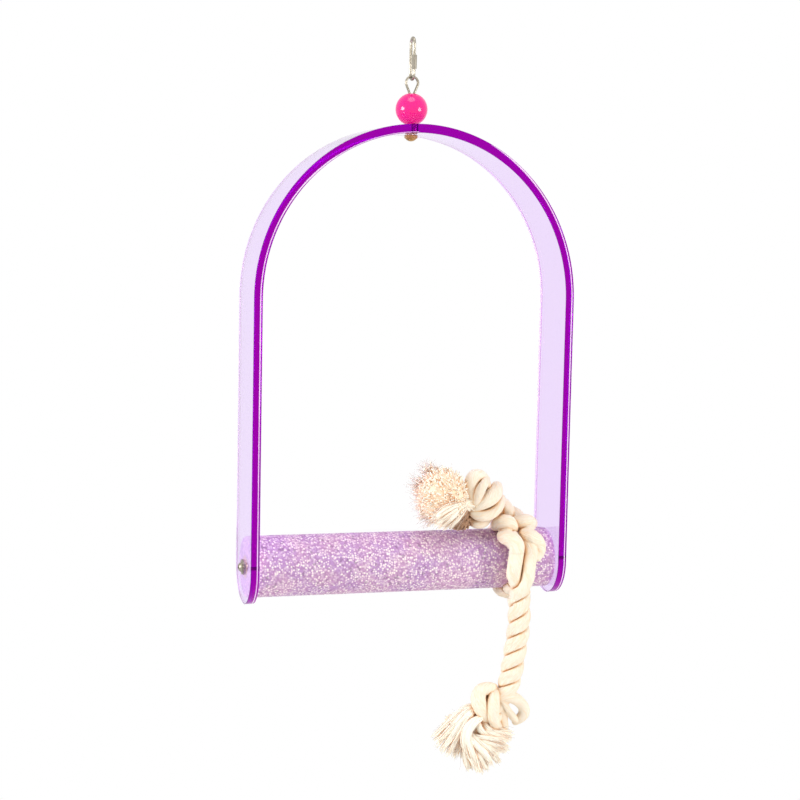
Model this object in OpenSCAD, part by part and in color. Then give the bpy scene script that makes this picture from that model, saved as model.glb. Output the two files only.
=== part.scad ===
// Hanging bird swing: an acrylic arch, a gritted perch and a knotted cotton rope.
// X runs along the perch, Z is up, and the origin is where the quick link hangs.

/* [Acrylic arch] */
// Outside width of the arch across its two legs
arch_w = 226.6; // [205:0.2:300]
// How much taller the crown is than a plain half circle
crown_lift = 4.8; // [1:0.1:12]
// Thickness of the acrylic strip
strip_t = 6; // [4:0.1:9]
// Width of the acrylic strip, front to back
strip_w = 50.8; // [46:0.1:70]
// Drop from where the legs turn straight to the perch's axis
leg_drop = 184.5; // [120:0.5:260]

/* [Perch] */
// Outside diameter of the gritted perch
perch_d = 42; // [36:0.5:44]
// Diameter of the wooden core inside the grit
core_d = 16; // [12:0.5:24]
// Rounding of the grit at the perch's ends
perch_round = 2; // [0.5:0.1:4]

/* [Perch screws] */
// Diameter of the screw's shank
screw_d = 3; // [2:0.1:4.5]
// Length of the screw inside the core
screw_grip = 24; // [10:0.5:40]
// Length of the screw's pointed tip
screw_tip = 4; // [2:0.5:8]
// Diameter of the domed screw head
head_d = 7.2; // [5:0.1:9]
// Height of the domed screw head
head_h = 2.6; // [1.5:0.1:4]
// Width of each arm of the cross drive
drive_w = 0.9; // [0.5:0.1:1.4]
// Depth of the cross drive
drive_depth = 1.2; // [0.6:0.1:1.4]
// Diameter of the washer under the head
washer_d = 10.5; // [8:0.1:14]
// Thickness of the washer
washer_t = 1; // [0.6:0.1:2]

/* [Quick link] */
// Overall length of the quick link
link_len = 30; // [27:0.1:45]
// Overall width of the quick link
link_w = 10.2; // [9:0.1:16]
// Diameter of the quick link's wire
link_wire = 2; // [1.6:0.1:2.6]
// Height of the gate opening in the link's near bar
gate_gap = 5.6; // [3:0.1:6]
// Length of the plain stub below the gate opening
stub_len = 4; // [2:0.1:5]
// Length of the sleeve nut that closes the gate
sleeve_len = 9.5; // [8.5:0.1:10.5]
// Width of the sleeve nut across its flats
sleeve_flats = 3.2; // [2.8:0.1:5]
// How far the closed sleeve nut reaches over the lower stub
sleeve_engage = 1.3; // [0.6:0.1:2]

/* [Eye pin, bead and nut] */
// Overall width of the wire eye
eye_w = 10.2; // [9:0.1:14]
// Diameter of the eye's wire
eye_wire = 1.7; // [1.2:0.1:2]
// Distance from the middle of the eye's ring to the top of the bead
eye_drop = 7.2; // [6.5:0.1:12]
// Distance from the pin's axis to the foot of each eye leg
eye_foot = 0.7; // [0.5:0.05:0.9]
// Depth of the eye's feet inside the bead
foot_sink = 2; // [1.5:0.1:4]
// Diameter of the pin's shank
shank_d = 5; // [4.6:0.1:6]
// Diameter of the bead
bead_d = 22; // [16:0.5:30]
// Width of the cap nut across its flats
nut_flats = 8; // [7:0.1:10]
// Height of the cap nut's six-sided part
nut_hex_h = 2.6; // [2:0.1:5]
// Height of the cap nut's dome
nut_dome_h = 1.9; // [1:0.1:4]
// Thickness of the nut's end over its blind thread
nut_roof = 1; // [0.6:0.1:1.6]

/* [Cotton rope] */
// Distance from the perch's right end to the rope's turn
turn_inset = 37.2; // [34:0.2:150]
// Radius of the laid rope
rope_r = 7.4; // [6:0.1:8]
// Radius of the rope where it is pulled tight round the perch
wrap_r = 7; // [5:0.1:7.4]
// Radius of one of the rope's two strands
ply_r = 4.3; // [3:0.1:5]
// Greatest radius of the upper knot
upper_knot_r = 20; // [14:0.5:22]
// Greatest radius of the upper tassel
upper_tassel_r = 22; // [14:0.5:24]
// Greatest radius of the lower knot
lower_knot_r = 18; // [14:0.5:22]
// Greatest radius of the lower tassel
lower_tassel_r = 22; // [14:0.5:26]

/* [Clearances] */
// Radial clearance between the shank and what turns on it
turn_gap = 0.08; // [0.02:0.01:0.1]
// Radial clearance of a screw or a thread in its hole
thread_gap = 0.05; // [0.01:0.01:0.1]
// Clearance between curved faces of pieces that turn past each other
face_gap = 0.3; // [0.1:0.05:0.5]
// Clearance between pieces that are screwed up against each other
butt_gap = 0.1; // [0.02:0.01:0.3]

/* [Hidden] */
$fn = 96;
overrun = arch_w / 200;

// The quick link, from the hang point down
link_bar = (link_w - link_wire) / 2;
link_top_z = -(link_bar - link_wire / 2);
link_bottom_z = link_top_z - (link_len - link_w);
stub_top_z = link_bottom_z + stub_len;
gate_top_z = stub_top_z + gate_gap;
sleeve_z = stub_top_z - sleeve_engage;

// The eye pin hangs in the link's lower bend
eye_r = (eye_w - eye_wire) / 2;
eye_top_z = link_bottom_z - link_bar + (link_wire + eye_wire) / 2 + butt_gap;
eye_z = eye_top_z - eye_r;
foot_z = eye_z - eye_drop - foot_sink;
foot_reach = norm([eye_foot, eye_drop + foot_sink]);
leg_len = sqrt(foot_reach * foot_reach - eye_r * eye_r);
leg_lean = asin(eye_r / foot_reach) - atan(eye_foot / (eye_drop + foot_sink));
// The wire swells this much where its ring is bent into its legs
knuckle_share = 1.02;

// The bead sits between the eye and the arch
bead_bore = shank_d + 2 * turn_gap;
bead_half_h = sqrt(bead_d * bead_d - bead_bore * bead_bore) / 2;
bead_z = eye_z - eye_drop - bead_half_h;

// The arch: one oval bend over two straight legs
arch_top_z = bead_z - bead_half_h - face_gap;
arch_rise = arch_w / 2 + crown_lift;
spring_z = arch_top_z - arch_rise;
perch_z = spring_z - leg_drop;

// The cap nut under the crown
nut_z = arch_top_z - strip_t - face_gap;
nut_dome_d = nut_flats * 0.96;
nut_dome_r = (nut_dome_h * nut_dome_h + nut_dome_d * nut_dome_d / 4) / (2 * nut_dome_h);
shank_end_z = nut_z - nut_hex_h - nut_dome_h + nut_roof + butt_gap;

// The perch between the legs
perch_len = arch_w - 2 * strip_t - 2 * butt_gap;
head_dome_r = (head_h * head_h + head_d * head_d / 4) / (2 * head_h);

// The rope's turn round the perch, and the pivot that its free end swings from
turn_r = perch_d / 2 + wrap_r;
turn_x = perch_len / 2 - turn_inset;
pivot_shares = [0.21, -1.11, -1.21];
tail_pivot = [turn_x, 0, perch_z] + turn_r * pivot_shares;

// Routes round the perch, from the middle of the turn, as shares of the turn's radius
hitch_shares = [[0, -0.36, 1.5], [0.25, -0.29, 1.36], [0.46, -0.32, 1.18], [0.64, -0.64, 1.04],
                [0.71, -1.04, 0.75], [0.64, -1.25, 0.43], [0.43, -1.21, 0.11],
                [0.21, -1.07, -0.21], [0.07, -0.86, -0.54], [0, -0.46, -0.93],
                [0, 0.07, -1.04], [0, 0.61, -0.82], [0, 0.96, -0.36], [-0.04, 1, 0.29],
                [-0.07, 0.68, 0.75], [-0.07, 0.18, 1.04], [-0.04, -0.32, 1],
                [0, -0.68, 0.79], [0.04, -0.93, 0.5]];
left_strand_shares = [[0, -0.96, 0.46], [0, -1.36, 0.32], [0, -1.5, 0.07], [0.04, -1.46, -0.25],
                      [0.07, -1.29, -0.57], [0.11, -1.16, -0.92]];
right_strand_shares = [[0.18, -0.91, 0.43], [0.46, -0.94, 0.21], [0.57, -0.98, -0.07],
                       [0.5, -1.11, -0.36], [0.39, -1.14, -0.64], [0.32, -1.11, -0.94]];
upper_knot_shares = [[0.04, -0.36, 1.5], [-0.14, -0.43, 1.54], [-0.5, -0.46, 1.57],
                     [-0.86, -0.46, 1.61], [-1.04, -0.46, 1.64]];
upper_tassel_shares = [[-1, -0.46, 1.64], [-1.21, -0.46, 1.68], [-1.57, -0.46, 1.68],
                       [-2.04, -0.5, 1.68], [-2.29, -0.54, 1.68]];

// Routes of the free end, in millimetres from its pivot
hanging_route = [[0, 0, 7.3], [0, 0, 6.5], [0, 0, 4.5], [0, 0, 2], [0, 0, 0], [0, 0, -6],
                 [-1.5, 0, -18], [-3, 0, -29], [-5.5, 0, -40], [-8.5, 0, -50]];
lower_knot_route = [[-9, 0, -50], [-10, 0, -57], [-11, 0, -66], [-14, 0, -75], [-17, 0, -81]];
lower_tassel_route = [[-16, 0, -79], [-20, 0, -85], [-26, 0, -92], [-34, 0, -99],
                      [-39, 0, -104]];

// How full each piece is along its route, as shares of its greatest radius
hanging_shares = [0.16, 0.48, 0.79, 0.96, 1, 1, 1, 1, 1, 1];
knot_shares = [0.4, 0.8, 1, 0.88, 0.45];
tassel_shares = [0.4, 0.68, 1, 0.95, 0.6];

// A bend of round wire in the XY plane
module wire_bend(bend_r, wire_d, start, sweep) {
    rotate([0, 0, start])
        rotate_extrude(angle = sweep)
            translate([bend_r, 0]) circle(d = wire_d);
}

// An oval bar along Y, this far inside the arch's own outline
module oval_bar(inset, length) {
    scale([(arch_w / 2 - inset) / (arch_rise - inset), 1, 1])
        rotate([90, 0, 0])
            cylinder(r = arch_rise - inset, h = length, center = true, $fn = 180);
}

// A cap of a sphere standing on the XY plane
module dome(base_d, height, sphere_r) {
    intersection() {
        cylinder(d = base_d, h = height);
        translate([0, 0, height - sphere_r]) sphere(r = sphere_r);
    }
}

// Points on one smooth curve through the given points, which may be plain numbers
function curve_at(a, b, c, d, t) =
    (2 * b + (c - a) * t + (2 * a - 5 * b + 4 * c - d) * t * t
     + (3 * b - a - 3 * c + d) * t * t * t) / 2;
function smooth(p, steps) =
    let (last = len(p) - 1)
    concat([for (i = [0 : last - 1]) for (s = [0 : steps - 1])
                curve_at(p[max(i - 1, 0)], p[i], p[i + 1], p[min(i + 2, last)], s / steps)],
           [p[last]]);

// Directions along a route, and side directions that follow it without turning
function unit(v) = v / norm(v);
function headings(p) =
    let (last = len(p) - 1)
    [for (i = [0 : last]) unit(p[min(i + 1, last)] - p[max(i - 1, 0)])];
function carried(h, side, i = 0, kept = []) =
    i == len(h) ? kept
    : let (flat = unit(side - (side * h[i]) * h[i]))
      carried(h, flat, i + 1, concat(kept, [flat]));

// A closed tube along a route, whose section may swell in lobes that spiral
module swept(route, radii, sides, steps, lobes = 0, depth = 0, spiral = 0) {
    centres = smooth(route, steps);
    sizes = smooth(radii, steps);
    last = len(centres) - 1;
    ahead = headings(centres);
    across = carried(ahead, cross(ahead[0], [0.2, 0.3, 1]));
    points = [for (i = [0 : last]) for (j = [0 : sides - 1])
        let (turn = 360 * j / sides,
             angle = turn + spiral * i / last,
             size = sizes[i] * (1 - depth + depth * cos(lobes * turn)),
             up = cross(ahead[i], across[i]))
        centres[i] + size * (cos(angle) * across[i] + sin(angle) * up)];
    walls = [for (i = [0 : last - 1]) for (j = [0 : sides - 1])
        let (next = (j + 1) % sides,
             low = i * sides,
             high = low + sides)
        each [[low + j, high + j, high + next], [low + j, high + next, low + next]]];
    caps = [for (j = [1 : sides - 2])
        each [[0, j, j + 1], [last * sides, last * sides + j + 1, last * sides + j]]];
    polyhedron(points = points, faces = concat(walls, caps), convexity = 6);
}

// A piece of rope of one radius along a route round the perch
module wrapped(shares, radius, sides, steps) {
    color("bisque") translate([turn_x, 0, perch_z])
        swept(turn_r * shares, [for (p = shares) radius], sides, steps);
}

// A knot or a tassel, full in the middle, that leans along its route
module lump(start, route, radius, fullness, sides, steps, lobes, depth, spiral) {
    color("bisque") translate(start)
        swept(route, radius * fullness, sides, steps, lobes, depth, spiral);
}

module knot(start, route, radius) {
    lump(start, route, radius, knot_shares, 30, 5, 3, 0.1, 150);
}

module tassel(start, route, radius) {
    lump(start, route, radius, tassel_shares, 36, 4, 9, 0.06, 60);
}

// Places a piece that is built outwards from the right leg's outer face
module on_leg(side) {
    mirror([side < 0 ? 1 : 0, 0, 0])
        translate([arch_w / 2, 0, perch_z]) rotate([0, 90, 0]) children();
}

module quick_link_body() {
    color("silver") {
        rotate([90, 0, 90]) {
            translate([0, link_top_z, 0]) wire_bend(link_bar, link_wire, 0, 180);
            translate([0, link_bottom_z, 0]) wire_bend(link_bar, link_wire, 180, 180);
        }
        translate([0, link_bar, link_bottom_z])
            cylinder(d = link_wire, h = link_top_z - link_bottom_z);
        translate([0, -link_bar, link_bottom_z]) cylinder(d = link_wire, h = stub_len);
        translate([0, -link_bar, gate_top_z])
            cylinder(d = link_wire, h = link_top_z - gate_top_z);
    }
}

module quick_link_sleeve_nut() {
    color("silver") translate([0, -link_bar, sleeve_z]) difference() {
        cylinder(d = sleeve_flats / cos(30), h = sleeve_len, $fn = 6);
        translate([0, 0, -overrun])
            cylinder(d = link_wire + 2 * thread_gap, h = sleeve_len + 2 * overrun);
    }
}

module eye_pin() {
    color("silver") {
        translate([0, 0, eye_z]) rotate([90, 0, 0])
            wire_bend(eye_r, eye_wire, -leg_lean, 180 + 2 * leg_lean);
        for (side = [-1, 1])
            translate([side * eye_foot, 0, foot_z]) rotate([0, side * leg_lean, 0]) {
                cylinder(d = eye_wire, h = leg_len);
                translate([0, 0, leg_len]) sphere(d = eye_wire * knuckle_share);
            }
        translate([0, 0, shank_end_z])
            cylinder(d = shank_d, h = foot_z + eye_wire / 2 - shank_end_z);
    }
}

module spacer_bead() {
    color("deeppink") translate([0, 0, bead_z]) difference() {
        sphere(d = bead_d);
        cylinder(d = bead_bore, h = bead_d + 2 * overrun, center = true);
    }
}

module cap_nut() {
    color("gold") translate([0, 0, nut_z]) mirror([0, 0, 1]) difference() {
        union() {
            cylinder(d = nut_flats / cos(30), h = nut_hex_h, $fn = 6);
            translate([0, 0, nut_hex_h]) dome(nut_dome_d, nut_dome_h, nut_dome_r);
        }
        translate([0, 0, -overrun])
            cylinder(d = shank_d + 2 * thread_gap,
                     h = nut_hex_h + nut_dome_h - nut_roof + overrun);
    }
}

module leg() {
    rotate([90, 0, 90]) linear_extrude(height = strip_t) difference() {
        union() {
            translate([-strip_w / 2, -leg_drop]) square([strip_w, leg_drop]);
            translate([0, -leg_drop]) circle(d = strip_w);
        }
        translate([0, -leg_drop]) circle(d = screw_d + 2 * thread_gap);
    }
}

module arch_frame() {
    color("mediumorchid", 0.6) difference() {
        translate([0, 0, spring_z]) {
            intersection() {
                difference() {
                    oval_bar(0, strip_w);
                    oval_bar(strip_t, strip_w + 2 * overrun);
                }
                translate([-arch_w, -arch_w, 0]) cube([2 * arch_w, 2 * arch_w, arch_w]);
            }
            for (side = [0, 1])
                mirror([side, 0, 0]) translate([arch_w / 2 - strip_t, 0, 0]) leg();
        }
        translate([0, 0, arch_top_z - 2 * strip_t])
            cylinder(d = shank_d + 2 * turn_gap, h = 2 * strip_t + overrun);
    }
}

module perch_core() {
    color("burlywood") translate([0, 0, perch_z]) rotate([0, 90, 0]) difference() {
        cylinder(d = core_d - 2 * thread_gap, h = perch_len, center = true);
        for (side = [-1, 1])
            translate([0, 0, side * perch_len / 2])
                cylinder(d = screw_d + 2 * thread_gap, h = 2 * screw_grip, center = true);
    }
}

module perch_grit_sleeve() {
    edge = perch_len / 2 - perch_round;
    color("plum") translate([0, 0, perch_z]) rotate([0, 90, 0]) rotate_extrude()
        difference() {
            union() {
                translate([0, -edge]) square([perch_d / 2, 2 * edge]);
                translate([0, -perch_len / 2])
                    square([perch_d / 2 - perch_round, perch_len]);
                for (side = [-1, 1])
                    translate([perch_d / 2 - perch_round, side * edge])
                        circle(r = perch_round);
            }
            translate([-core_d / 2, -perch_len]) square([core_d, 2 * perch_len]);
        }
}

module perch_screw(side) {
    color("silver") on_leg(side) difference() {
        union() {
            translate([0, 0, washer_t + 2 * butt_gap]) dome(head_d, head_h, head_dome_r);
            translate([0, 0, -strip_t - screw_grip + screw_tip])
                cylinder(d = screw_d,
                         h = strip_t + screw_grip - screw_tip + washer_t + 3 * butt_gap);
            translate([0, 0, -strip_t - screw_grip])
                cylinder(d1 = screw_d / 8, d2 = screw_d, h = screw_tip);
        }
        translate([0, 0, washer_t + 2 * butt_gap + head_h - drive_depth / 2 + overrun / 2])
            for (turn = [0, 90]) rotate([0, 0, turn])
                cube([head_d / 2, drive_w, drive_depth + overrun], center = true);
    }
}

module screw_washer(side) {
    color("silver") on_leg(side) translate([0, 0, butt_gap]) difference() {
        cylinder(d = washer_d, h = washer_t);
        translate([0, 0, -overrun])
            cylinder(d = screw_d + 2 * thread_gap, h = washer_t + 2 * overrun);
    }
}

module perch_screw_left() {
    perch_screw(-1);
}

module perch_screw_right() {
    perch_screw(1);
}

module screw_washer_left() {
    screw_washer(-1);
}

module screw_washer_right() {
    screw_washer(1);
}

module rope_hitch() {
    wrapped(hitch_shares, wrap_r, 12, 3);
}

module rope_strand_left() {
    wrapped(left_strand_shares, ply_r, 10, 4);
}

module rope_strand_right() {
    wrapped(right_strand_shares, ply_r, 10, 4);
}

module rope_upper_knot() {
    knot([turn_x, 0, perch_z], turn_r * upper_knot_shares, upper_knot_r);
}

module rope_upper_tassel() {
    tassel([turn_x, 0, perch_z], turn_r * upper_tassel_shares, upper_tassel_r);
}

module rope_hanging_length() {
    color("bisque") translate(tail_pivot)
        swept(hanging_route, rope_r * hanging_shares, 16, 3);
}

module rope_lower_knot() {
    knot(tail_pivot, lower_knot_route, lower_knot_r);
}

module rope_lower_tassel() {
    tassel(tail_pivot, lower_tassel_route, lower_tassel_r);
}

quick_link_body();
quick_link_sleeve_nut();
eye_pin();
spacer_bead();
cap_nut();
arch_frame();
perch_core();
perch_grit_sleeve();
perch_screw_left();
perch_screw_right();
screw_washer_left();
screw_washer_right();
rope_hitch();
rope_strand_left();
rope_strand_right();
rope_upper_knot();
rope_upper_tassel();
rope_hanging_length();
rope_lower_knot();
rope_lower_tassel();
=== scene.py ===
import math

import bmesh
import bpy
import numpy as np
from mathutils import Matrix, Vector


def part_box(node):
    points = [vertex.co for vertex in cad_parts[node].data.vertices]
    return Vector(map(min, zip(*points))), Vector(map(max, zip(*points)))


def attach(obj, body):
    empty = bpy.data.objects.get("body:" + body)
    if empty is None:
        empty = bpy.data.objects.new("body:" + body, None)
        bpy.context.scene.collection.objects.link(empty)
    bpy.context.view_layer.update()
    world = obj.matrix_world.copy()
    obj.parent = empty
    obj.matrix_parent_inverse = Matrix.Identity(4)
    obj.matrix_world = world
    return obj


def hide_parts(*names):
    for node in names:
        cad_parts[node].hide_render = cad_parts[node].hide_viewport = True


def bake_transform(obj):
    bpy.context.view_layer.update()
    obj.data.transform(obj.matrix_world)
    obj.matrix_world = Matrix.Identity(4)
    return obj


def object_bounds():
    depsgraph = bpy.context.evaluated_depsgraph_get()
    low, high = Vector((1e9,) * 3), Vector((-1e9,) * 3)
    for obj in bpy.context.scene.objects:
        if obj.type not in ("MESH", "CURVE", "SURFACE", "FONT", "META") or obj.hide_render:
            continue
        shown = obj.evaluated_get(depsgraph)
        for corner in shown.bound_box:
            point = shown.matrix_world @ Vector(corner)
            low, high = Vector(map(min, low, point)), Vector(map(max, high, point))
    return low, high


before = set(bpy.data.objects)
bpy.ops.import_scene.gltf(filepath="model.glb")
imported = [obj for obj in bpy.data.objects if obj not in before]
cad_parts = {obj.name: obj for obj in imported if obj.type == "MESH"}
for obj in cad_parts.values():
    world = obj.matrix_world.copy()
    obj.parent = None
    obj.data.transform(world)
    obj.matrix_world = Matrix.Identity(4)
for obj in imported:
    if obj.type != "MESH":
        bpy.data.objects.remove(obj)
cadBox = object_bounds()
mm = 0.001
perchLow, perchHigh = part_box("perch_grit_sleeve")
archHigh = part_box("arch_frame")[1]
perchAxis = np.array([0.0, 0.0, (perchLow.z + perchHigh.z) / 2])  # middle of the perch
random = np.random.default_rng(7)
white, black = (1, 1, 1, 1), (0, 0, 0, 1)


def newObject(name, data):
    made = bpy.data.objects.new(name, data)
    bpy.context.scene.collection.objects.link(made)
    return made


# Links or sets a node's inputs, by name or number.
def fill(tree, made, values):
    for key, value in values.items():
        if isinstance(value, bpy.types.NodeSocket):
            tree.links.new(value, made.inputs[key])
        else:
            made.inputs[key].default_value = value


def node(tree, kind, values=None, **settings):
    made = tree.nodes.new(kind)
    for key, value in settings.items():
        setattr(made, key, value)
    fill(tree, made, values or {})
    return made


def maths(tree, operation, a, b=0.0):
    return node(tree, "ShaderNodeMath", {0: a, 1: b}, operation=operation).outputs[0]


def times(tree, a, b):
    return maths(tree, "MULTIPLY", a, b)


# A colour on the way from a to b.
def mixed(tree, factor, a, b):
    return node(tree, "ShaderNodeMix", {"Factor": factor, 6: a, 7: b}, data_type="RGBA").outputs[2]


# Runs smoothly from 0 at low to 1 at high.
def ramp(tree, value, low, high):
    return node(tree, "ShaderNodeMapRange", {"Value": value, "From Min": low, "From Max": high},
                interpolation_type="SMOOTHSTEP").outputs[0]


# Runs evenly from low to high, while the value runs from start to stop.
def between(tree, value, low, high, start=0.0, stop=1.0):
    return node(tree, "ShaderNodeMapRange", {"Value": value, "From Min": start, "From Max": stop,
                                             "To Min": low, "To Max": high}).outputs[0]


def noise(tree, vector, scale, detail=2.0):
    return node(tree, "ShaderNodeTexNoise",
                {"Vector": vector, "Scale": scale, "Detail": detail}).outputs["Fac"]


def bump(tree, height, strength, distance):
    return node(tree, "ShaderNodeBump",
                {"Height": height, "Strength": strength, "Distance": distance}).outputs[0]


def newMaterial(name):
    material = bpy.data.materials.new(name)
    material.use_nodes = True
    tree = material.node_tree
    return material, tree, tree.nodes["Principled BSDF"]


def objectPlace(tree):
    return node(tree, "ShaderNodeTexCoord").outputs["Object"]


# The number that addMesh stores at each point.
def shadeOf(tree):
    return node(tree, "ShaderNodeAttribute", attribute_name="shade").outputs["Fac"]


# The camera stands where the photograph was taken from
cameraSettings = {
    "place": (-352.1, -1170.1, -127.5),  # mm
    "yaw": 16.568,  # degrees to the right of +Y
    "pitch": -5.594,
    "roll": 1.166,
    "lens": 79.45,
    "sensor": 36.0,
}


# The camera's turn is its yaw, then its pitch, then its roll.
def addCamera(s):
    data = bpy.data.cameras.new("camera")
    data.lens, data.sensor_width = s["lens"], s["sensor"]
    camera = newObject("camera", data)
    turn = Matrix.Rotation(-math.radians(s["yaw"]), 4, "Z")
    tilt = Matrix.Rotation(math.radians(90 + s["pitch"]), 4, "X")
    lean = Matrix.Rotation(math.radians(s["roll"]), 4, "Z")
    place = Matrix.Translation([c * mm for c in s["place"]])
    camera.matrix_world = place @ turn @ tilt @ lean
    bpy.context.scene.camera = camera


addCamera(cameraSettings)
print("camera placed")

# Soft studio light round the object, and a pale floor far below it
studioSettings = {
    "ambient": 0.56,  # light from the white room
    "lamps": [  # name, place in metres, width, power
        ("left", (-1.79, -0.2, 0.05), 0.75, 19),
        ("right", (1.26, -1.29, -0.12), 0.75, 15),
        ("top", (-0.2, -0.5, 1.5), 1.2, 11),
        ("low", (0.25, -0.75, -0.95), 0.5, 3),
    ],
    "aim": (0.0, 0.0, -0.27),
    "floorDrop": 0.3,  # below the lowest tassel
    "floorWidth": 8.0,
    "floorColour": (0.86, 0.86, 0.86, 1),
    "floorRoughness": 0.9,
}


# Puts plain white over a shader for camera rays and for rays off metal or through glass.
def whiteToViewer(tree, shaded, emitter):
    rays = node(tree, "ShaderNodeLightPath").outputs
    plain = node(tree, emitter, {"Color": white, "Strength": 1.0})
    seen = maths(tree, "MAXIMUM", rays["Is Camera Ray"], rays["Is Glossy Ray"])
    seen = maths(tree, "MAXIMUM", seen, rays["Is Transmission Ray"])
    return node(tree, "ShaderNodeMixShader", {0: seen, 1: shaded, 2: plain.outputs[0]}).outputs[0]


def addStudio(s):
    world = bpy.data.worlds.new("whiteRoom")
    bpy.context.scene.world = world
    world.use_nodes = True
    tree = world.node_tree
    tree.nodes.clear()
    ambient = node(tree, "ShaderNodeBackground", {"Color": white, "Strength": s["ambient"]})
    shown = whiteToViewer(tree, ambient.outputs[0], "ShaderNodeBackground")
    node(tree, "ShaderNodeOutputWorld", {"Surface": shown})
    for name, place, width, power in s["lamps"]:
        data = bpy.data.lights.new(name, "AREA")
        data.shape, data.size, data.energy = "DISK", width, power
        light = newObject(name, data)
        light.location = place
        towards = Vector(s["aim"]) - Vector(place)
        light.rotation_euler = towards.to_track_quat("-Z", "Y").to_euler()
    half = s["floorWidth"] / 2
    level = cadBox[0].z - s["floorDrop"]
    corners = [(-half, -half, level), (half, -half, level), (half, half, level), (-half, half, level)]
    mesh = bpy.data.meshes.new("floor")
    mesh.from_pydata(corners, [], [(0, 1, 2, 3)])
    floor = newObject("floor", mesh)
    material, tree, shader = newMaterial("paleFloor")
    fill(tree, shader, {"Base Color": s["floorColour"], "Roughness": s["floorRoughness"]})
    shown = whiteToViewer(tree, shader.outputs[0], "ShaderNodeEmission")
    fill(tree, tree.nodes["Material Output"], {"Surface": shown})
    mesh.materials.append(material)
    bpy.context.scene.view_settings.view_transform = "Standard"


addStudio(studioSettings)
print("studio lit")


# Meshes are grids of points, worked out as whole arrays. These are the quads between a grid's
# neighbouring points, where its columns close round.
def gridFaces(rows, columns):
    row, column = np.meshgrid(np.arange(rows - 1), np.arange(columns), indexing="ij")
    beside = (column + 1) % columns
    low, high = row * columns, (row + 1) * columns
    return np.stack([low + column, low + beside, high + beside, high + column], -1).reshape(-1, 4)


# A mesh of quads and triangles, with a UV for each corner and a shade for each point.
def addMesh(name, points, quads, triangles=(), uv=None, shade=None):
    mesh = bpy.data.meshes.new(name)
    triangles = np.reshape(triangles, (-1, 3)).astype(int)
    corners = np.concatenate([quads.reshape(-1), triangles.reshape(-1)])
    sizes = np.concatenate([np.full(len(quads), 4), np.full(len(triangles), 3)])
    mesh.vertices.add(len(points))
    mesh.vertices.foreach_set("co", np.asarray(points, np.float32).reshape(-1))
    mesh.loops.add(len(corners))
    mesh.loops.foreach_set("vertex_index", corners.astype(np.int32))
    mesh.polygons.add(len(sizes))
    starts = np.concatenate([[0], np.cumsum(sizes)[:-1]])
    mesh.polygons.foreach_set("loop_start", starts.astype(np.int32))
    if uv is not None:
        layer = mesh.uv_layers.new(name="surface")
        layer.data.foreach_set("uv", np.asarray(uv, np.float32).reshape(-1))
    if shade is not None:
        attribute = mesh.attributes.new("shade", "FLOAT", "POINT")
        attribute.data.foreach_set("value", np.asarray(shade, np.float32).reshape(-1))
    mesh.update(calc_edges=True)
    mesh.validate()
    mesh.shade_smooth()
    return newObject(name, mesh)


def unit(v):
    return v / np.maximum(np.linalg.norm(v, axis=-1, keepdims=True), 1e-12)


# Points evenly spaced along a smooth curve through the given ones: a cubic from each to the next,
# whose slope at a point is half the step between its neighbours.
def smoothPath(points, count):
    p = np.asarray(points, float)
    p = np.concatenate([[2 * p[0] - p[1]], p, [2 * p[-1] - p[-2]]])
    t = np.linspace(0, 1, 40, endpoint=False)[None, :, None]
    a, b, c, d = (p[i : len(p) - 3 + i, None] for i in range(4))
    curve = (2 * b + (c - a) * t + (2 * a - 5 * b + 4 * c - d) * t**2
             + (3 * b - a - 3 * c + d) * t**3) / 2
    curve = np.concatenate([curve.reshape(-1, p.shape[1]), p[-2:-1]])
    run = pathLengths(curve)
    even = np.linspace(0, run[-1], count)
    return np.stack([np.interp(even, run, curve[:, k]) for k in range(p.shape[1])], 1)


# How far along a path each of its points is.
def pathLengths(path):
    steps = np.linalg.norm(np.diff(path, axis=-2), axis=-1)
    return np.concatenate([np.zeros(steps.shape[:-1] + (1,)), np.cumsum(steps, -1)], -1)


# Tangents, and two directions across them that follow the path without turning round it.
def carriedFrames(path, side):
    along = unit(np.gradient(path, axis=-2))
    across = np.empty_like(along)
    held = np.broadcast_to(np.asarray(side, float), along[..., 0, :].shape)
    for ring in range(path.shape[-2]):
        t = along[..., ring, :]
        held = unit(held - np.sum(held * t, -1, keepdims=True) * t)
        across[..., ring, :] = held
    return along, across, np.cross(along, across)


# A shared look as a node group. An input with no value is a vector; every output is a number.
def newGroup(name, inputs, outputs):
    group = bpy.data.node_groups.new(name, "ShaderNodeTree")
    for label, value in inputs.items():
        kind = "NodeSocketVector" if value is None else "NodeSocketFloat"
        socket = group.interface.new_socket(label, in_out="INPUT", socket_type=kind)
        if value is not None:
            socket.default_value = value
    for label in outputs:
        group.interface.new_socket(label, in_out="OUTPUT", socket_type="NodeSocketFloat")
    given = group.nodes.new("NodeGroupInput").outputs
    return group, given, group.nodes.new("NodeGroupOutput")


# Uneven patches and fine lines on a worn hard surface.
def makeScuffs():
    group, given, out = newGroup("scuffs", {"Vector": None, "Scale": 200.0}, ("Patches", "Lines"))
    vector, scale = given["Vector"], given["Scale"]
    stretched = node(group, "ShaderNodeMapping", {"Vector": vector, "Scale": (9.0, 1.0, 1.0)})
    fill(group, out, {"Patches": noise(group, vector, scale, 3.0),
                      "Lines": noise(group, stretched.outputs[0], scale, 1.0)})
    return group


scuffs = makeScuffs()
metalSettings = {
    "nickelPlate": {"light": (0.43, 0.39, 0.32, 1), "dark": (0.3, 0.265, 0.205, 1),
                    "roughness": 0.24, "scale": 160.0},
    "brassPlate": {"light": (0.56, 0.33, 0.12, 1), "dark": (0.34, 0.18, 0.07, 1),
                   "roughness": 0.2, "scale": 300.0},
}


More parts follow.
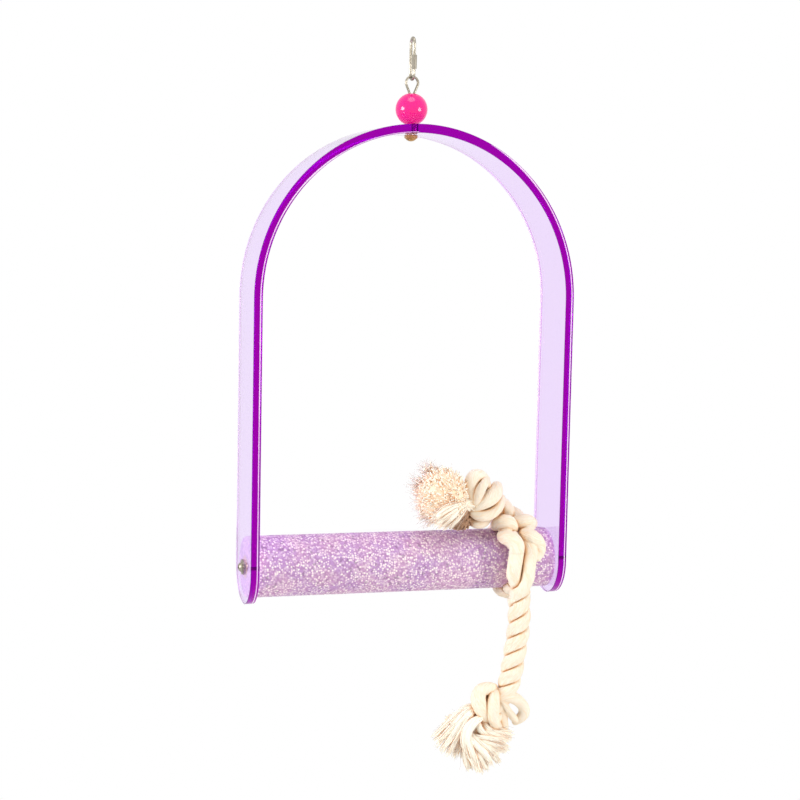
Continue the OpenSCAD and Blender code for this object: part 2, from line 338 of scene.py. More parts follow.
# Bright plated metal with faint patches of tarnish and fine drawing lines.
def makeMetal(name, s):
    material, tree, shader = newMaterial(name)
    wear = node(tree, "ShaderNodeGroup", {"Vector": objectPlace(tree), "Scale": s["scale"]},
                node_tree=scuffs).outputs
    fill(tree, shader, {
        "Base Color": mixed(tree, ramp(tree, wear["Patches"], 0.35, 0.7), s["light"], s["dark"]),
        "Roughness": between(tree, wear["Patches"], s["roughness"], 2 * s["roughness"], 0.3, 0.8),
        "Metallic": 1.0,
        "Normal": bump(tree, wear["Lines"], 0.02, 0.0002),
    })
    return material


nickel, brass = (makeMetal(name, values) for name, values in metalSettings.items())


# Clear tinted sheet: faces let pale light through, and the cut edges gather a deep tint and give off a
# faint painted glow.
def makeAcrylic(s):
    material, tree, shader = newMaterial("tintedAcrylic")
    edge = shadeOf(tree)
    haze = noise(tree, objectPlace(tree), 40.0)
    face = mixed(tree, ramp(tree, haze, 0.3, 0.7), s["face"], s["faceWarm"])
    fill(tree, shader, {
        "Base Color": mixed(tree, edge, face, s["edge"]),
        "Roughness": between(tree, edge, s["roughness"], s["edgeRoughness"]),
        "Specular IOR Level": between(tree, edge, s["gloss"], s["edgeGloss"]),
        "Specular Tint": mixed(tree, edge, white, s["edgeShine"]),
        # painted glow: the cut edges give off a faint light of their own
        "Emission Color": mixed(tree, edge, black, s["edgeGlow"]),
        "Emission Strength": 1.0,
        "IOR": s["ior"],
        "Transmission Weight": 1.0,
    })
    through = node(tree, "ShaderNodeBsdfTransparent", {"Color": s["shadow"]})
    rays = node(tree, "ShaderNodeLightPath").outputs
    mix = node(tree, "ShaderNodeMixShader", {0: rays["Is Shadow Ray"], 1: shader.outputs[0],
                                             2: through.outputs[0]})
    absorption = node(tree, "ShaderNodeVolumeAbsorption", {"Color": s["body"],
                                                           "Density": s["density"]})
    fill(tree, tree.nodes["Material Output"], {"Surface": mix.outputs[0],
                                               "Volume": absorption.outputs[0]})
    return material


acrylicSettings = {
    "face": (0.96, 0.885, 1.0, 1),
    "faceWarm": (0.965, 0.89, 0.99, 1),
    "edge": (0.58, 0.0, 0.31, 1),
    "body": (0.5, 0.02, 0.93, 1),  # what is left of white light deep inside
    "density": 32.0,
    "shadow": (0.86, 0.76, 0.93, 1),
    "ior": 1.49,
    "roughness": 0.0,
    "edgeRoughness": 0.08,
    "gloss": 0.5,
    "edgeGloss": 0.1,
    "edgeShine": (0.4, 0.04, 0.4, 1),
    "edgeGlow": (0.055, 0.0, 0.075, 1),  # painted glow: light the cut edges give off of their own, standing in for light that the strip gathers
}
acrylic = makeAcrylic(acrylicSettings)


# Painted highlight: the pale line that the polished edge shows, standing in for light guided along the
# strip.
def makeGlint(s):
    material, tree, shader = newMaterial("paintedEdgeGlint")
    flow = noise(tree, objectPlace(tree), 25.0)
    fill(tree, shader, {
        "Base Color": mixed(tree, ramp(tree, flow, 0.35, 0.65), s["glint"], s["glintPink"]),
        "Roughness": 0.3,
    })
    return material


glintSettings = {
    "glint": (0.88, 0.68, 0.9, 1),
    "glintPink": (0.82, 0.5, 0.82, 1),
}
glint = makeGlint(glintSettings)


# Joins points that lie together, and turns all faces outwards.
def mergeDoubles(piece, distance=1e-6):
    shape = bmesh.new()
    shape.from_mesh(piece.data)
    bmesh.ops.remove_doubles(shape, verts=shape.verts, dist=distance)
    bmesh.ops.dissolve_degenerate(shape, edges=shape.edges, dist=distance)
    bmesh.ops.recalc_face_normals(shape, faces=shape.faces)
    shape.to_mesh(piece.data)
    shape.free()
    piece.data.update()


def dressed(piece, body, material, slot, *nodes):
    piece.data.materials.append(material)
    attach(piece, body)
    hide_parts(*nodes)
    return piece


# The arch: one strip with rounded ends, bent over an oval crown and drilled three times
archSettings = {
    "thickness": 6.0,
    "width": 50.8,
    "outerWidth": 226.6,
    "crownLift": 4.8,  # how much higher the oval is than a half circle
    "legDrop": 184.5,
    "edgeRound": 0.35,
    "glint": (0.69, 0.8),  # where the painted highlight line lies across the cut edge
    "glintRoom": 0.02,  # kept clear of the edge's round
    "glintLeast": 0.1,  # a narrower line is left out
    "crownBore": 5.16,
    "legBore": 3.1,
    "bendRings": 180,
    "legRings": 24,
    "endRings": 28,
    "acrossSteps": 18,
}


# Outer line of the strip in the XZ plane, from the spring line up: leg, oval, leg. The oval is x
# = half width times cosine, z = rise times sine. Gives place and outward normal.
def archPath(s):
    half, rise = s["outerWidth"] / 2, s["outerWidth"] / 2 + s["crownLift"]
    drop = np.linspace(1, 0, s["legRings"] + 1)[:-1] * -s["legDrop"]
    angle = np.linspace(0, np.pi, s["bendRings"] + 1)
    place = np.concatenate([
        np.stack([np.full_like(drop, half), drop], 1),
        np.stack([half * np.cos(angle), rise * np.sin(angle)], 1),
        np.stack([np.full_like(drop, -half), drop[::-1]], 1),
    ])
    normal = np.concatenate([
        np.tile([1.0, 0.0], (len(drop), 1)),
        unit(np.stack([rise * np.cos(angle), half * np.sin(angle)], 1)),
        np.tile([-1.0, 0.0], (len(drop), 1)),
    ])
    return place, normal


# Once round the strip's section. Each point has an inset from the cut outline, a depth below the
# outer face, a share of the way across, and 1 on the cut edge or 0 on a face. Also gives the two
# columns, one on each cut edge, where the glint's quads start.
def archSection(s):
    r, t = s["edgeRound"], s["thickness"]
    share = np.linspace(-1, 1, s["acrossSteps"] + 1)
    arc = np.radians([22.5, 45, 67.5])
    corner = np.stack([r * (1 - np.sin(arc)), r * (1 - np.cos(arc))], 1)  # inset, depth
    faceOut = np.stack([np.full_like(share, r), np.zeros_like(share), share, 0 * share], 1)
    side = [[i, d, 1, 1] for i, d in corner]
    side += [[0, r, 1, 1], [0, t / 2, 1, 1], [0, t / 2, 1, 1], [0, t - r, 1, 1]]
    side += [[i, t - d, 1, 1] for i, d in corner[::-1]]
    faceIn = np.stack([np.full_like(share, r), np.full_like(share, t), -share, 0 * share], 1)
    otherSide = [[i, t - d, -1, e] for i, d, _, e in side]
    first = len(faceOut) + len(corner) + 1
    second = first + len(side) + len(faceIn)
    return np.concatenate([faceOut, side, faceIn, otherSide]), (first, second)


# Depths of the glint's two sides in each ring. A share of the way towards +X across the cut edge
# is half, plus half less the depth's share, times the normal's X part.
def glintDepths(s, normal):
    least = 0.01  # keeps the division safe at the crown
    turned = np.where(np.abs(normal[:, 0]) < least, least, normal[:, 0])
    low, high = [s["thickness"] * (0.5 - (g - 0.5) / turned) for g in s["glint"]]
    room = s["edgeRound"] + s["glintRoom"]
    upper = np.clip(np.minimum(low, high), room, s["thickness"] - 2 * room)
    lower = np.clip(np.maximum(low, high), upper + least, s["thickness"] - room)
    return upper, lower


# The strip's grid: rings along it, the section round it. In the round ends a ring at angle a is
# (half width less inset) times cosine wide and as far past the hole as its sine gives.
def makeArch(s):
    place, normal = archPath(s)
    section, glints = archSection(s)
    inset, depth, share, edge = section.T
    turn = np.linspace(0, np.pi / 2, s["endRings"] + 1)[1:]
    count = len(place)
    wide = np.concatenate([np.cos(turn[::-1]), np.ones(count), np.cos(turn)])
    past = np.concatenate([np.sin(turn[::-1]), np.zeros(count), np.sin(turn)])
    ends = np.clip(np.arange(-len(turn), count + len(turn)), 0, count - 1)  # the last rings again
    place, normal = place[ends], normal[ends]
    reach = s["width"] / 2 - inset[None, :]
    depth = np.tile(depth, (len(place), 1))
    upper, lower = glintDepths(s, normal)
    depth[:, glints[0]], depth[:, glints[0] + 1] = upper, lower
    depth[:, glints[1]], depth[:, glints[1] + 1] = lower, upper
    flat = place[:, None, :] - depth[:, :, None] * normal[:, None, :]
    points = np.stack([flat[..., 0], reach * wide[:, None] * share[None, :],
                       flat[..., 1] - reach * past[:, None]], -1)
    spring = archHigh.z / mm - s["outerWidth"] / 2 - s["crownLift"]
    points[..., 2] += spring
    rows, columns = points.shape[:2]
    quads = gridFaces(rows, columns)
    shade = np.broadcast_to(edge, (rows, columns))
    piece = addMesh("arch", points.reshape(-1, 3) * mm, quads, shade=shade)
    piece.data.materials.append(acrylic)
    piece.data.materials.append(glint)
    # painted highlight: the marked quads on the cut edges take the glint material
    ring, column = np.divmod(np.arange(len(quads)), columns)
    shown = lower - upper > s["glintLeast"]
    marked = np.isin(column, glints) & shown[ring] & shown[ring + 1]
    piece.data.polygons.foreach_set("material_index", marked.astype(np.int32))
    mergeDoubles(piece)  # the round ends' last rings close to a line
    return piece, spring


# Cuts round holes: each bore is a middle, an axis, a diameter and a length.
def drill(piece, bores, around=64):
    angle = np.linspace(0, 2 * np.pi, around, endpoint=False)
    ring = np.arange(around)
    points, quads, ends = [], [], []
    for number, (middle, axis, diameter, length) in enumerate(bores):
        axis = unit(np.array(axis, float))
        across = unit(np.cross(axis, (0.3, 1, 0.2)))
        up = np.cross(axis, across)
        circle = diameter / 2 * (np.cos(angle)[:, None] * across + np.sin(angle)[:, None] * up)
        points += [np.array(middle) + end * length * axis + circle for end in (-0.5, 0.5)]
        start = number * 2 * around
        quads.append(gridFaces(2, around) + start)
        ends += [tuple(start + ring[::-1]), tuple(start + around + ring)]
    mesh = bpy.data.meshes.new("bores")
    faces = [tuple(q) for q in np.concatenate(quads)] + ends
    mesh.from_pydata(np.concatenate(points) * mm, [], faces)
    cutter = newObject("bores", mesh)
    cut = piece.modifiers.new("bores", "BOOLEAN")
    cut.operation, cut.solver, cut.object = "DIFFERENCE", "EXACT", cutter
    finished = bpy.data.meshes.new_from_object(piece.evaluated_get(
        bpy.context.evaluated_depsgraph_get()))
    piece.modifiers.clear()
    piece.data = finished
    bpy.data.objects.remove(cutter)


# Bored through its crown and through the middle of each round end.
def finishArch(s):
    piece, spring = makeArch(s)
    crown = spring + s["outerWidth"] / 2 + s["crownLift"] - s["thickness"] / 2
    side = (s["outerWidth"] - s["thickness"]) / 2
    foot = spring - s["legDrop"]
    long = 2 * s["thickness"]
    drill(piece, [((0, 0, crown), (0, 0, 1), s["crownBore"], long),
                  ((side, 0, foot), (1, 0, 0), s["legBore"], long),
                  ((-side, 0, foot), (1, 0, 0), s["legBore"], long)])
    even = piece.modifiers.new("even", "WEIGHTED_NORMAL")
    even.keep_sharp = True
    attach(piece, "swing")
    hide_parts("arch_frame")


finishArch(archSettings)
print("arch made")

# The perch: a round bar coated with coloured grit
gritSettings = {
    "diameter": 42.0,
    "length": 214.4,
    "coreDiameter": 16.0,
    "endRound": 2.0,
    "around": 230,
    "along": 330,
    "grain": 1.5,  # usual width of a grain
    "height": 0.34,  # how far a grain stands out
    "sunk": 0.35,  # how deep the cement lies between grains, as a share of that
    "grainReach": 0.75,  # as a share of a grain's width
    "grainPower": 0.6,  # lower is flatter on top and steeper at its foot
    "grainLeast": 0.25,  # height of the lowest grain, as a share of the highest
    "fleckFrom": 0.52,  # grains whose number is higher are pale
    "base": (0.5, 0.28, 0.55, 1),
    "pit": (0.34, 0.14, 0.3, 1),
    "basePink": (0.59, 0.34, 0.54, 1),
    "fleck": (0.98, 0.94, 0.84, 1),
    "fleckPink": (0.96, 0.8, 0.84, 1),
    "speck": (0.2, 0.1, 0.2, 1),
}


# Distance to the nearest of the points scattered one to a cell, and that point's own number from
# 0 to 1. The first direction closes round after so many cells.
def scattered(u, v, cellsRound, seed):
    dice = np.random.default_rng(seed)
    rows = int(np.ceil(v.max())) + 3
    places, numbers = dice.random((cellsRound, rows, 2)), dice.random((cellsRound, rows))
    cellU, cellV = np.floor(u).astype(int), np.floor(v).astype(int)
    nearest, number = np.full(u.shape, 9.0), np.zeros(u.shape)
    for stepU in (-1, 0, 1):
        for stepV in (-1, 0, 1):
            i, j = (cellU + stepU) % cellsRound, np.clip(cellV + stepV + 1, 0, rows - 1)
            far = np.hypot(cellU + stepU + places[i, j, 0] - u, cellV + stepV + places[i, j, 1] - v)
            number = np.where(far < nearest, numbers[i, j], number)
            nearest = np.minimum(nearest, far)
    return nearest, number


# The sleeve's profile is carried round its axis: out along one end, over a rounded corner, along
# the outside and back. The skin outside is lifted by grains, each a small dome on its own point:
# one less the distance over the reach, to the power given.
def makeGrit(s):
    radius, half, r = s["diameter"] / 2, s["length"] / 2, s["endRound"]
    arc = np.linspace(0, np.pi / 2, 6)[1:-1]
    face = np.linspace(s["coreDiameter"] / 2, radius - r, 10)
    run = np.linspace(-half + r, half - r, s["along"])
    x = np.concatenate([np.full(len(face), -half), -half + r - r * np.cos(arc), run,
                        half - r + r * np.sin(arc), np.full(len(face), half)])
    y = np.concatenate([face, radius - r + r * np.sin(arc), np.full(len(run), radius),
                        radius - r + r * np.cos(arc), face[::-1]])
    angle = np.linspace(0, 2 * np.pi, s["around"], endpoint=False)
    cells = int(2 * np.pi * radius / s["grain"])
    step = np.concatenate([[0], np.cumsum(np.hypot(np.diff(x), np.diff(y)))]) / s["grain"]
    u = np.broadcast_to(angle / (2 * np.pi) * cells, (len(x), len(angle)))
    v = np.broadcast_to(step[:, None], u.shape)
    far, number = scattered(u, v, cells, 11)
    grain = np.clip(1 - far / s["grainReach"], 0, 1) ** s["grainPower"]
    least = s["grainLeast"]
    lift = s["height"] * (grain * (least + (1 - least) * number) - s["sunk"])
    normal = unit(np.stack([-np.gradient(y), np.gradient(x)], 1))
    xs, ys = x[:, None] + lift * normal[:, :1], y[:, None] + lift * normal[:, 1:]
    points = np.stack([xs, ys * np.cos(angle), ys * np.sin(angle)], -1) * mm + perchAxis
    quads = gridFaces(len(x), len(angle))
    ring = np.arange(len(angle))
    beside = (ring + 1) % len(angle)
    last = (len(x) - 1) * len(angle)
    bore = np.stack([last + ring, last + beside, beside, ring], 1)  # the core's hole
    fleck = np.clip((number - s["fleckFrom"]) * 4, 0, 1) * np.clip(1.6 - 2.4 * far, 0, 1)
    return addMesh("perchGrit", points.reshape(-1, 3), np.concatenate([quads, bore]), shade=fleck)


# Coloured cement: lavender with pink patches, pale flecks on the grains and a few dark specks.
def makeGritMaterial(s):
    material, tree, shader = newMaterial("grittedCement")
    place = objectPlace(tree)
    patch = noise(tree, place, 55.0)
    base = mixed(tree, ramp(tree, patch, 0.38, 0.64), s["base"], s["basePink"])
    fine = node(tree, "ShaderNodeTexVoronoi", {"Vector": place, "Scale": 620.0}).outputs
    single = node(tree, "ShaderNodeSeparateColor", {"Color": fine["Color"]}).outputs
    small = times(tree, ramp(tree, single[0], 0.3, 0.5), ramp(tree, fine["Distance"], 0.55, 0.3))
    crowd = times(tree, ramp(tree, patch, 0.3, 0.55), 0.2)
    wide = times(tree, shadeOf(tree), maths(tree, "ADD", crowd, 0.35))
    fleck = maths(tree, "MAXIMUM", wide, times(tree, small, 0.9))
    pit = times(tree, ramp(tree, fine["Distance"], 0.45, 0.8), 0.45)
    tint = mixed(tree, single[1], s["fleck"], s["fleckPink"])
    colour = mixed(tree, fleck, mixed(tree, pit, base, s["pit"]), tint)
    dark = times(tree, ramp(tree, single[2], 0.95, 0.97), 0.6)
    height = maths(tree, "ADD", times(tree, fine["Distance"], -0.6), fleck)
    fill(tree, shader, {
        "Base Color": mixed(tree, dark, colour, s["speck"]),
        "Roughness": between(tree, fleck, 0.75, 0.35),
        "Normal": bump(tree, height, 0.5, 0.0004),
    })
    return material


dressed(makeGrit(gritSettings), "swing", makeGritMaterial(gritSettings), "gritted_cement",
        "perch_grit_sleeve")
print("perch made")

woodSettings = {
    "pale": (0.75, 0.56, 0.36, 1),
    "ring": (0.55, 0.36, 0.2, 1),
    "rings": 34.0,
}


# Pale dowel wood: growth rings round its length, bent by noise, and fine fibres along it.
def makeWood(s):
    material, tree, shader = newMaterial("dowelWood")
    along = node(tree, "ShaderNodeMapping", {"Vector": objectPlace(tree),
                                             "Scale": (0.05, 1.0, 1.0)}).outputs[0]
    rings = maths(tree, "SINE", times(tree, noise(tree, along, 260.0, 3.0), s["rings"]))
    grain = times(tree, ramp(tree, rings, -1.0, 1.0), noise(tree, along, 2600.0))
    fill(tree, shader, {
        "Base Color": mixed(tree, grain, s["pale"], s["ring"]),
        "Roughness": 0.8,
        "Normal": bump(tree, grain, 0.3, 0.0003),
    })
    return material


# Many closed tubes in one mesh, each a grid of points [tube, ring, round it]. Every end is domed:
# rings that shrink as a cosine while they move out as a sine, then a tip.
def addTubes(name, points, uv, shade, dome, bends=(75, 50, 25)):
    middle = points.mean(2, keepdims=True)
    bends = np.radians(bends)[:, None, None]
    ends = []
    for ring, beyond in ((0, 1), (-1, -2)):
        centre = middle[:, ring][:, None]
        out = unit(centre - middle[:, beyond][:, None]) * dome
        ends.append((centre + np.cos(bends) * (points[:, ring][:, None] - centre)
                     + np.sin(bends) * out, (centre + out)[:, 0]))
    (first, firstTip), (last, lastTip) = ends
    whole = np.concatenate([first, points, last[:, ::-1]], 1)
    count, rows, around = whole.shape[:3]
    same = np.clip(np.arange(rows) - len(bends), 0, points.shape[1] - 1)  # domes keep the end's UV
    uv, shade = uv[:, same], shade[:, same]
    vertices = np.concatenate([whole.reshape(count, -1, 3), firstTip, lastTip], 1)
    shades = np.concatenate([shade.reshape(count, -1), shade[:, 0, :1], shade[:, -1, :1]], 1)
    ring = np.arange(around)
    beside = (ring + 1) % around
    top, tip = (rows - 1) * around, rows * around
    tips = np.concatenate([
        np.stack([np.full(around, tip), beside, ring], 1),
        np.stack([np.full(around, tip + 1), top + ring, top + beside], 1),
    ])
    low, high = uv[:, :-1], uv[:, 1:]
    quadUv = np.stack([low[:, :, :-1], low[:, :, 1:], high[:, :, 1:], high[:, :, :-1]], 3)
    tipUv = np.concatenate([
        np.stack([uv[:, 0, :-1], uv[:, 0, 1:], uv[:, 0, :-1]], 2),
        np.stack([uv[:, -1, :-1], uv[:, -1, :-1], uv[:, -1, 1:]], 2),
    ], 1)
    corners = np.concatenate([quadUv.reshape(-1, 2), tipUv.reshape(-1, 2)])
    shift = (np.arange(count) * (tip + 2))[:, None, None]
    return addMesh(name, vertices.reshape(-1, 3) * mm, (gridFaces(rows, around) + shift).reshape(-1, 4),
                   tips + shift, corners, shades)


# Points round each place of a path: radius times cosine across it and times sine up from it.
def roundPath(path, radius, angle, side):
    _, across, up = carriedFrames(path, side)
    ray = np.cos(angle)[:, None] * across[..., None, :] + np.sin(angle)[:, None] * up[..., None, :]
    return path[..., None, :] + radius[..., None] * ray


# Wire: a round section along a path, cut here and there by a thread. The thread's depth follows
# a wave of the run along the wire and the angle round it.
def wireGrid(path, radius, around=20, depth=0.0, pitch=0.5, side=(1, 0, 0)):
    angle = np.linspace(0, 2 * np.pi, around + 1)
    run = pathLengths(path)[:, None]
    wave = np.abs(((run / pitch + angle / (2 * np.pi)) % 1) * 2 - 1)
    reach = radius - np.broadcast_to(depth, len(path))[:, None] * wave
    points = roundPath(path, reach, angle, side)
    uv = np.stack(np.broadcast_arrays(angle / (2 * np.pi), run / 5), -1)
    return points[:, :-1], uv, np.ones(reach[:, :-1].shape)


# A turned part standing on Z: rows of (radius, height) round the axis at x = 0 and the given y.
# Flats cut it to six sides: half the width over flats, over the cosine of the angle from a flat's
# middle.
def turnedGrid(rows, y=0, around=96, flats=None):
    rows = np.array(rows, float)
    angle = np.linspace(0, 2 * np.pi, around + 1)[None, :]
    reach = np.broadcast_to(rows[:, :1], (len(rows), around + 1))
    if flats:
        corner = np.abs((angle % (np.pi / 3)) - np.pi / 6)
        reach = np.minimum(reach, flats / 2 / np.cos(np.pi / 6 - corner))
    points = np.stack([reach * np.cos(angle), y + reach * np.sin(angle),
                       np.broadcast_to(rows[:, 1:], reach.shape)], -1)
    run = pathLengths(rows)[:, None] / 5
    uv = np.stack(np.broadcast_arrays(angle / (2 * np.pi), run), -1)
    return points[:, :-1], uv, np.ones(reach[:, :-1].shape)


# A turned part with a hole: its rows come back to the first, so it closes as a ring.
def turnedRing(name, rows, y=0, around=96, flats=None):
    points = turnedGrid(rows, y, around, flats)[0]
    piece = addMesh(name, points.reshape(-1, 3) * mm, gridFaces(len(rows), around))
    mergeDoubles(piece)
    return piece


# Grids of one size, stacked for addTubes.
def joined(*grids):
    return [np.stack([grid[k] for grid in grids]) for k in range(3)]


# Points on a circle from one angle to another, in degrees.
def arcPoints(radius, start, end, count):
    angle = np.radians(np.linspace(start, end, count))
    return np.stack([radius * np.cos(angle), radius * np.sin(angle)], 1)


def crisp(piece, degrees):
    piece.data.set_sharp_from_angle(angle=math.radians(degrees))
    return piece


# The hardware: heights are on Z, from the inside of the link's top bend
hardwareSettings = {
    "linkBar": 4.1,  # a bar's distance from the middle
    "linkWire": 1.0,  # radius
    "linkTop": -3.1,
    "linkBottom": -22.9,
    "gateTop": -13.3,
    "stubTop": -18.9,
    "threadEnds": (5.2, 2.0),  # from the top and the bottom bend
    "threadDepth": 0.05,
    "threadPitch": 0.7,
    "sleeve": (-20.2, -10.7),
    "sleeveFlats": 3.2,
    "sleeveBore": 1.08,
    "sleeveMouth": 1.3,
    "sleeveBevel": (0.3, 0.35),  # inside, outside
    "eyeMiddle": -29.3,
    "eyeRadius": 4.25,
    "eyeWire": 0.85,
    "eyeLean": 23.07,
    "foot": (0.7, -38.5),
    "shankRadius": 2.5,
    "shankEnd": -67.88,
    "bead": (11.0, 2.58, -47.19, 0.5),  # radius, bore, middle, rim
    "beadPink": (1.0, 0.006, 0.2, 1),
    "beadDeep": (0.93, 0.0, 0.27, 1),
    "nut": (-64.48, 8.0, 2.6, 1.9),  # top, flats, hex height, dome height
    "nutBore": (2.56, 2.9, 2.9),  # radius, mouth, depth
    "nutBevel": (0.3, 0.35),  # inside and below, above
}


# The link is one wire: from the stub under the bottom, up the far bar, over the top and down to
# the gate, with a thread where the sleeve nut runs.
def makeLink(s):
    bar, top, low = s["linkBar"], s["linkTop"], s["linkBottom"]
    under = arcPoints(bar, 180, 360, 40)
    over = arcPoints(bar, 0, 180, 40)
    flat = np.concatenate([
        np.stack([np.full(30, -bar), np.linspace(s["stubTop"], low, 30)], 1),
        under[1:] + (0, low),
        np.stack([np.full(20, bar), np.linspace(low, top, 20)], 1)[1:],
        over[1:] + (0, top),
        np.stack([np.full(110, -bar), np.linspace(top, s["gateTop"], 110)], 1)[1:],
    ])
    path = np.stack([np.zeros(len(flat)), flat[:, 0], flat[:, 1]], 1)
    below, above = s["threadEnds"]
    threaded = (flat[:, 0] < 0) & (flat[:, 1] < top - below) & (flat[:, 1] > low + above)
    grid = wireGrid(path, s["linkWire"], depth=s["threadDepth"] * threaded, pitch=s["threadPitch"])
    piece = addTubes("quickLink", *joined(grid), dome=0.25, bends=(60, 30))
    dressed(piece, "quick_link", nickel, "nickel_steel", "quick_link_body")
    start, end = s["sleeve"]
    bore, mouth, across = s["sleeveBore"], s["sleeveMouth"], s["sleeveFlats"] / 2
    corner = across * 1.155  # just outside the hexagon's corners
    inner, outer = s["sleeveBevel"]
    rows = [(bore, start + inner), (mouth, start), (across, start), (corner, start + outer),
            (corner, end - outer), (across, end), (mouth, end), (bore, end - inner),
            (bore, start + inner)]
    nut = crisp(turnedRing("sleeveNut", rows, -bar, 72, s["sleeveFlats"]), 25)
    dressed(nut, "sleeve_nut", nickel, "nickel_steel", "quick_link_sleeve_nut")


# The eye is a wire from one foot, round the ring and back to the other, over a plain shank.
def makeEye(s):
    lean = s["eyeLean"]
    ring = arcPoints(s["eyeRadius"], -lean, 180 + lean, 70) + (0, s["eyeMiddle"])
    foot, low = s["foot"]
    t = np.linspace(0, 1, 16)[:, None]
    first = (1 - t) * np.array([foot, low]) + t * ring[0]
    last = (1 - t) * ring[-1] + t * np.array([-foot, low])
    flat = np.concatenate([first[:-1], ring, last[1:]])
    path = np.stack([flat[:, 0], np.zeros(len(flat)), flat[:, 1]], 1)
    wire = wireGrid(path, s["eyeWire"], side=(0, 1, 0))
    height = np.linspace(low + 0.5, s["shankEnd"], len(path))
    shank = wireGrid(np.stack([0 * height, 0 * height, height], 1), s["shankRadius"])
    piece = addTubes("eyePin", *joined(wire, shank), dome=0.2, bends=(60, 30))
    dressed(piece, "hanging_pin", nickel, "nickel_steel", "eye_pin")


# The cap nut's dome is part of a sphere: its radius comes from the dome's height and edge.
def makeCapNut(s):
    top, flats, hexHigh, domeHigh = s["nut"]
    bore, mouth, deep = s["nutBore"]
    inner, outer = s["nutBevel"]
    edge = flats * 0.48  # just inside the flats
    sphere = (domeHigh**2 + edge**2) / (2 * domeHigh)
    fall = np.linspace(0, 1, 14)[1:] * domeHigh
    reach = np.sqrt(np.maximum(sphere**2 - (sphere - domeHigh + fall) ** 2, 0.01))
    corner = flats / 2 / math.cos(math.pi / 6)
    foot = top - hexHigh
    rows = [(bore, top - deep), (bore, top - inner), (mouth, top), (flats / 2, top),
            (corner, top - outer), (corner, foot + inner), (flats / 2, foot), (edge, foot - 0.02),
            *zip(reach, foot - fall)]
    grid = turnedGrid(rows[::-1], flats=flats)
    piece = crisp(addTubes("capNut", *joined(grid), dome=0.01, bends=()), 28)
    dressed(piece, "hanging_pin", brass, "brass", "cap_nut")


# A glossy moulded bead: a sphere bored through, with a small round at each rim.
def makeBead(s):
    radius, bore, middle, rim = s["bead"]
    lip = math.asin((bore + rim) / radius)
    angle = np.linspace(lip, math.pi - lip, 90)
    outside = np.stack([radius * np.sin(angle), radius * np.cos(angle)], 1)
    high = outside[0, 1]
    turn = np.linspace(0, np.pi / 2, 6)[:-1]
    topRim = np.stack([bore + rim * (1 - np.cos(turn)), high - rim + rim * np.sin(turn)], 1)
    hole = np.stack([np.full(8, bore), np.linspace(-high + rim, high - rim, 8)], 1)[1:-1]
    rows = np.concatenate([topRim, outside, (topRim * (1, -1))[::-1], hole, topRim[:1]])
    piece = turnedRing("bead", rows[::-1] + (0, middle), around=120)
    material, tree, shader = newMaterial("pinkPlastic")
    haze = noise(tree, objectPlace(tree), 120.0)
    fill(tree, shader, {"Base Color": mixed(tree, haze, s["beadPink"], s["beadDeep"]),
                        "Roughness": between(tree, haze, 0.08, 0.2)})
    dressed(piece, "bead", material, "pink_plastic", "spacer_bead")


for makePart in (makeLink, makeEye, makeCapNut, makeBead):
    makePart(hardwareSettings)
solidLooks = {name: nickel for name in ("perch_screw_left", "perch_screw_right",
                                        "screw_washer_left", "screw_washer_right")}
solidLooks["perch_core"] = makeWood(woodSettings)
for name, material in solidLooks.items():
    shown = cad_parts[name].data.materials
    shown.clear()
    shown.append(material)
print("hardware made")

# Twisted cotton and its frayed ends. A gap is in metres: hollows of that width take the dark shade colour,
# as painted shade. Cover is how much of the light behind a yarn it hides.
cottonSettings = {
    "creaseShade": (0.93, 0.6, 0.32, 1),
    "warm": (0.96, 0.77, 0.55, 1),
    "cream": (0.97, 0.87, 0.72, 1),
    "yarns": 22.0,  # round one strand
    "gap": 0.005,
    "hollow": (0.1, 0.75),
    "sheen": 0.25,
    "relief": 0.55,
    "cover": 1.0,
}
fraySettings = {
    **cottonSettings,
    "creaseShade": (1.0, 0.64, 0.38, 1),
    "warm": (1.0, 0.91, 0.73, 1),
    "cream": (1.0, 0.96, 0.84, 1),
    "hollow": (0.05, 0.6),
    "sheen": 0.1,
    "relief": 0.3,
}
shadedSettings = {  # painted shade: a darker copy of the cotton, for the side of a tassel that faces down
    **cottonSettings,
    "creaseShade": (0.25, 0.12, 0.06, 1),
    "warm": (0.42, 0.23, 0.13, 1),
    "cream": (0.56, 0.35, 0.22, 1),
    "gap": 0.003,
    "hollow": (0.08, 0.62),
    "sheen": 0.3,
}
fluffSettings = {  # loose fibres, too fine to hide what is behind them
    **shadedSettings,
    "creaseShade": (1.0, 0.84, 0.74, 1),
    "warm": (1.0, 0.89, 0.82, 1),
    "cream": (1.0, 0.93, 0.87, 1),
    "sheen": 0.1,
    "relief": 0.0,
    "cover": 0.5,
}


# Yarns side by side along a strand, each with its own height and tone, and finer fibres on them.
# A yarn's height is the absolute sine of its place times pi, to the power of 0.6.
def makeYarns():
    group, given, out = newGroup("yarns", {"Vector": None, "Count": 22.0}, ("Height", "Tone"))
    vector, count = given["Vector"], given["Count"]
    across, along, _ = node(group, "ShaderNodeSeparateXYZ", {"Vector": vector}).outputs
    drift = times(group, noise(group, vector, 3.0, 1.0), 0.09)
    place = times(group, maths(group, "ADD", across, drift), count)
    hump = maths(group, "ABSOLUTE", maths(group, "SINE", times(group, place, math.pi)))
    own = node(group, "ShaderNodeCombineXYZ", {0: maths(group, "FLOOR", place),
                                               1: times(group, along, 0.7)})
    tone = noise(group, own.outputs[0], 1.7, 1.0)
    fine = node(group, "ShaderNodeCombineXYZ", {0: times(group, place, 3.1),
                                                1: times(group, along, 9.0)})
    fibre = noise(group, fine.outputs[0], 1.0, 3.0)
    fill(group, out, {
        "Height": maths(group, "ADD", maths(group, "POWER", hump, 0.6), times(group, fibre, 0.55)),
        "Tone": times(group, times(group, tone, fibre), 3.2),
    })
    return group
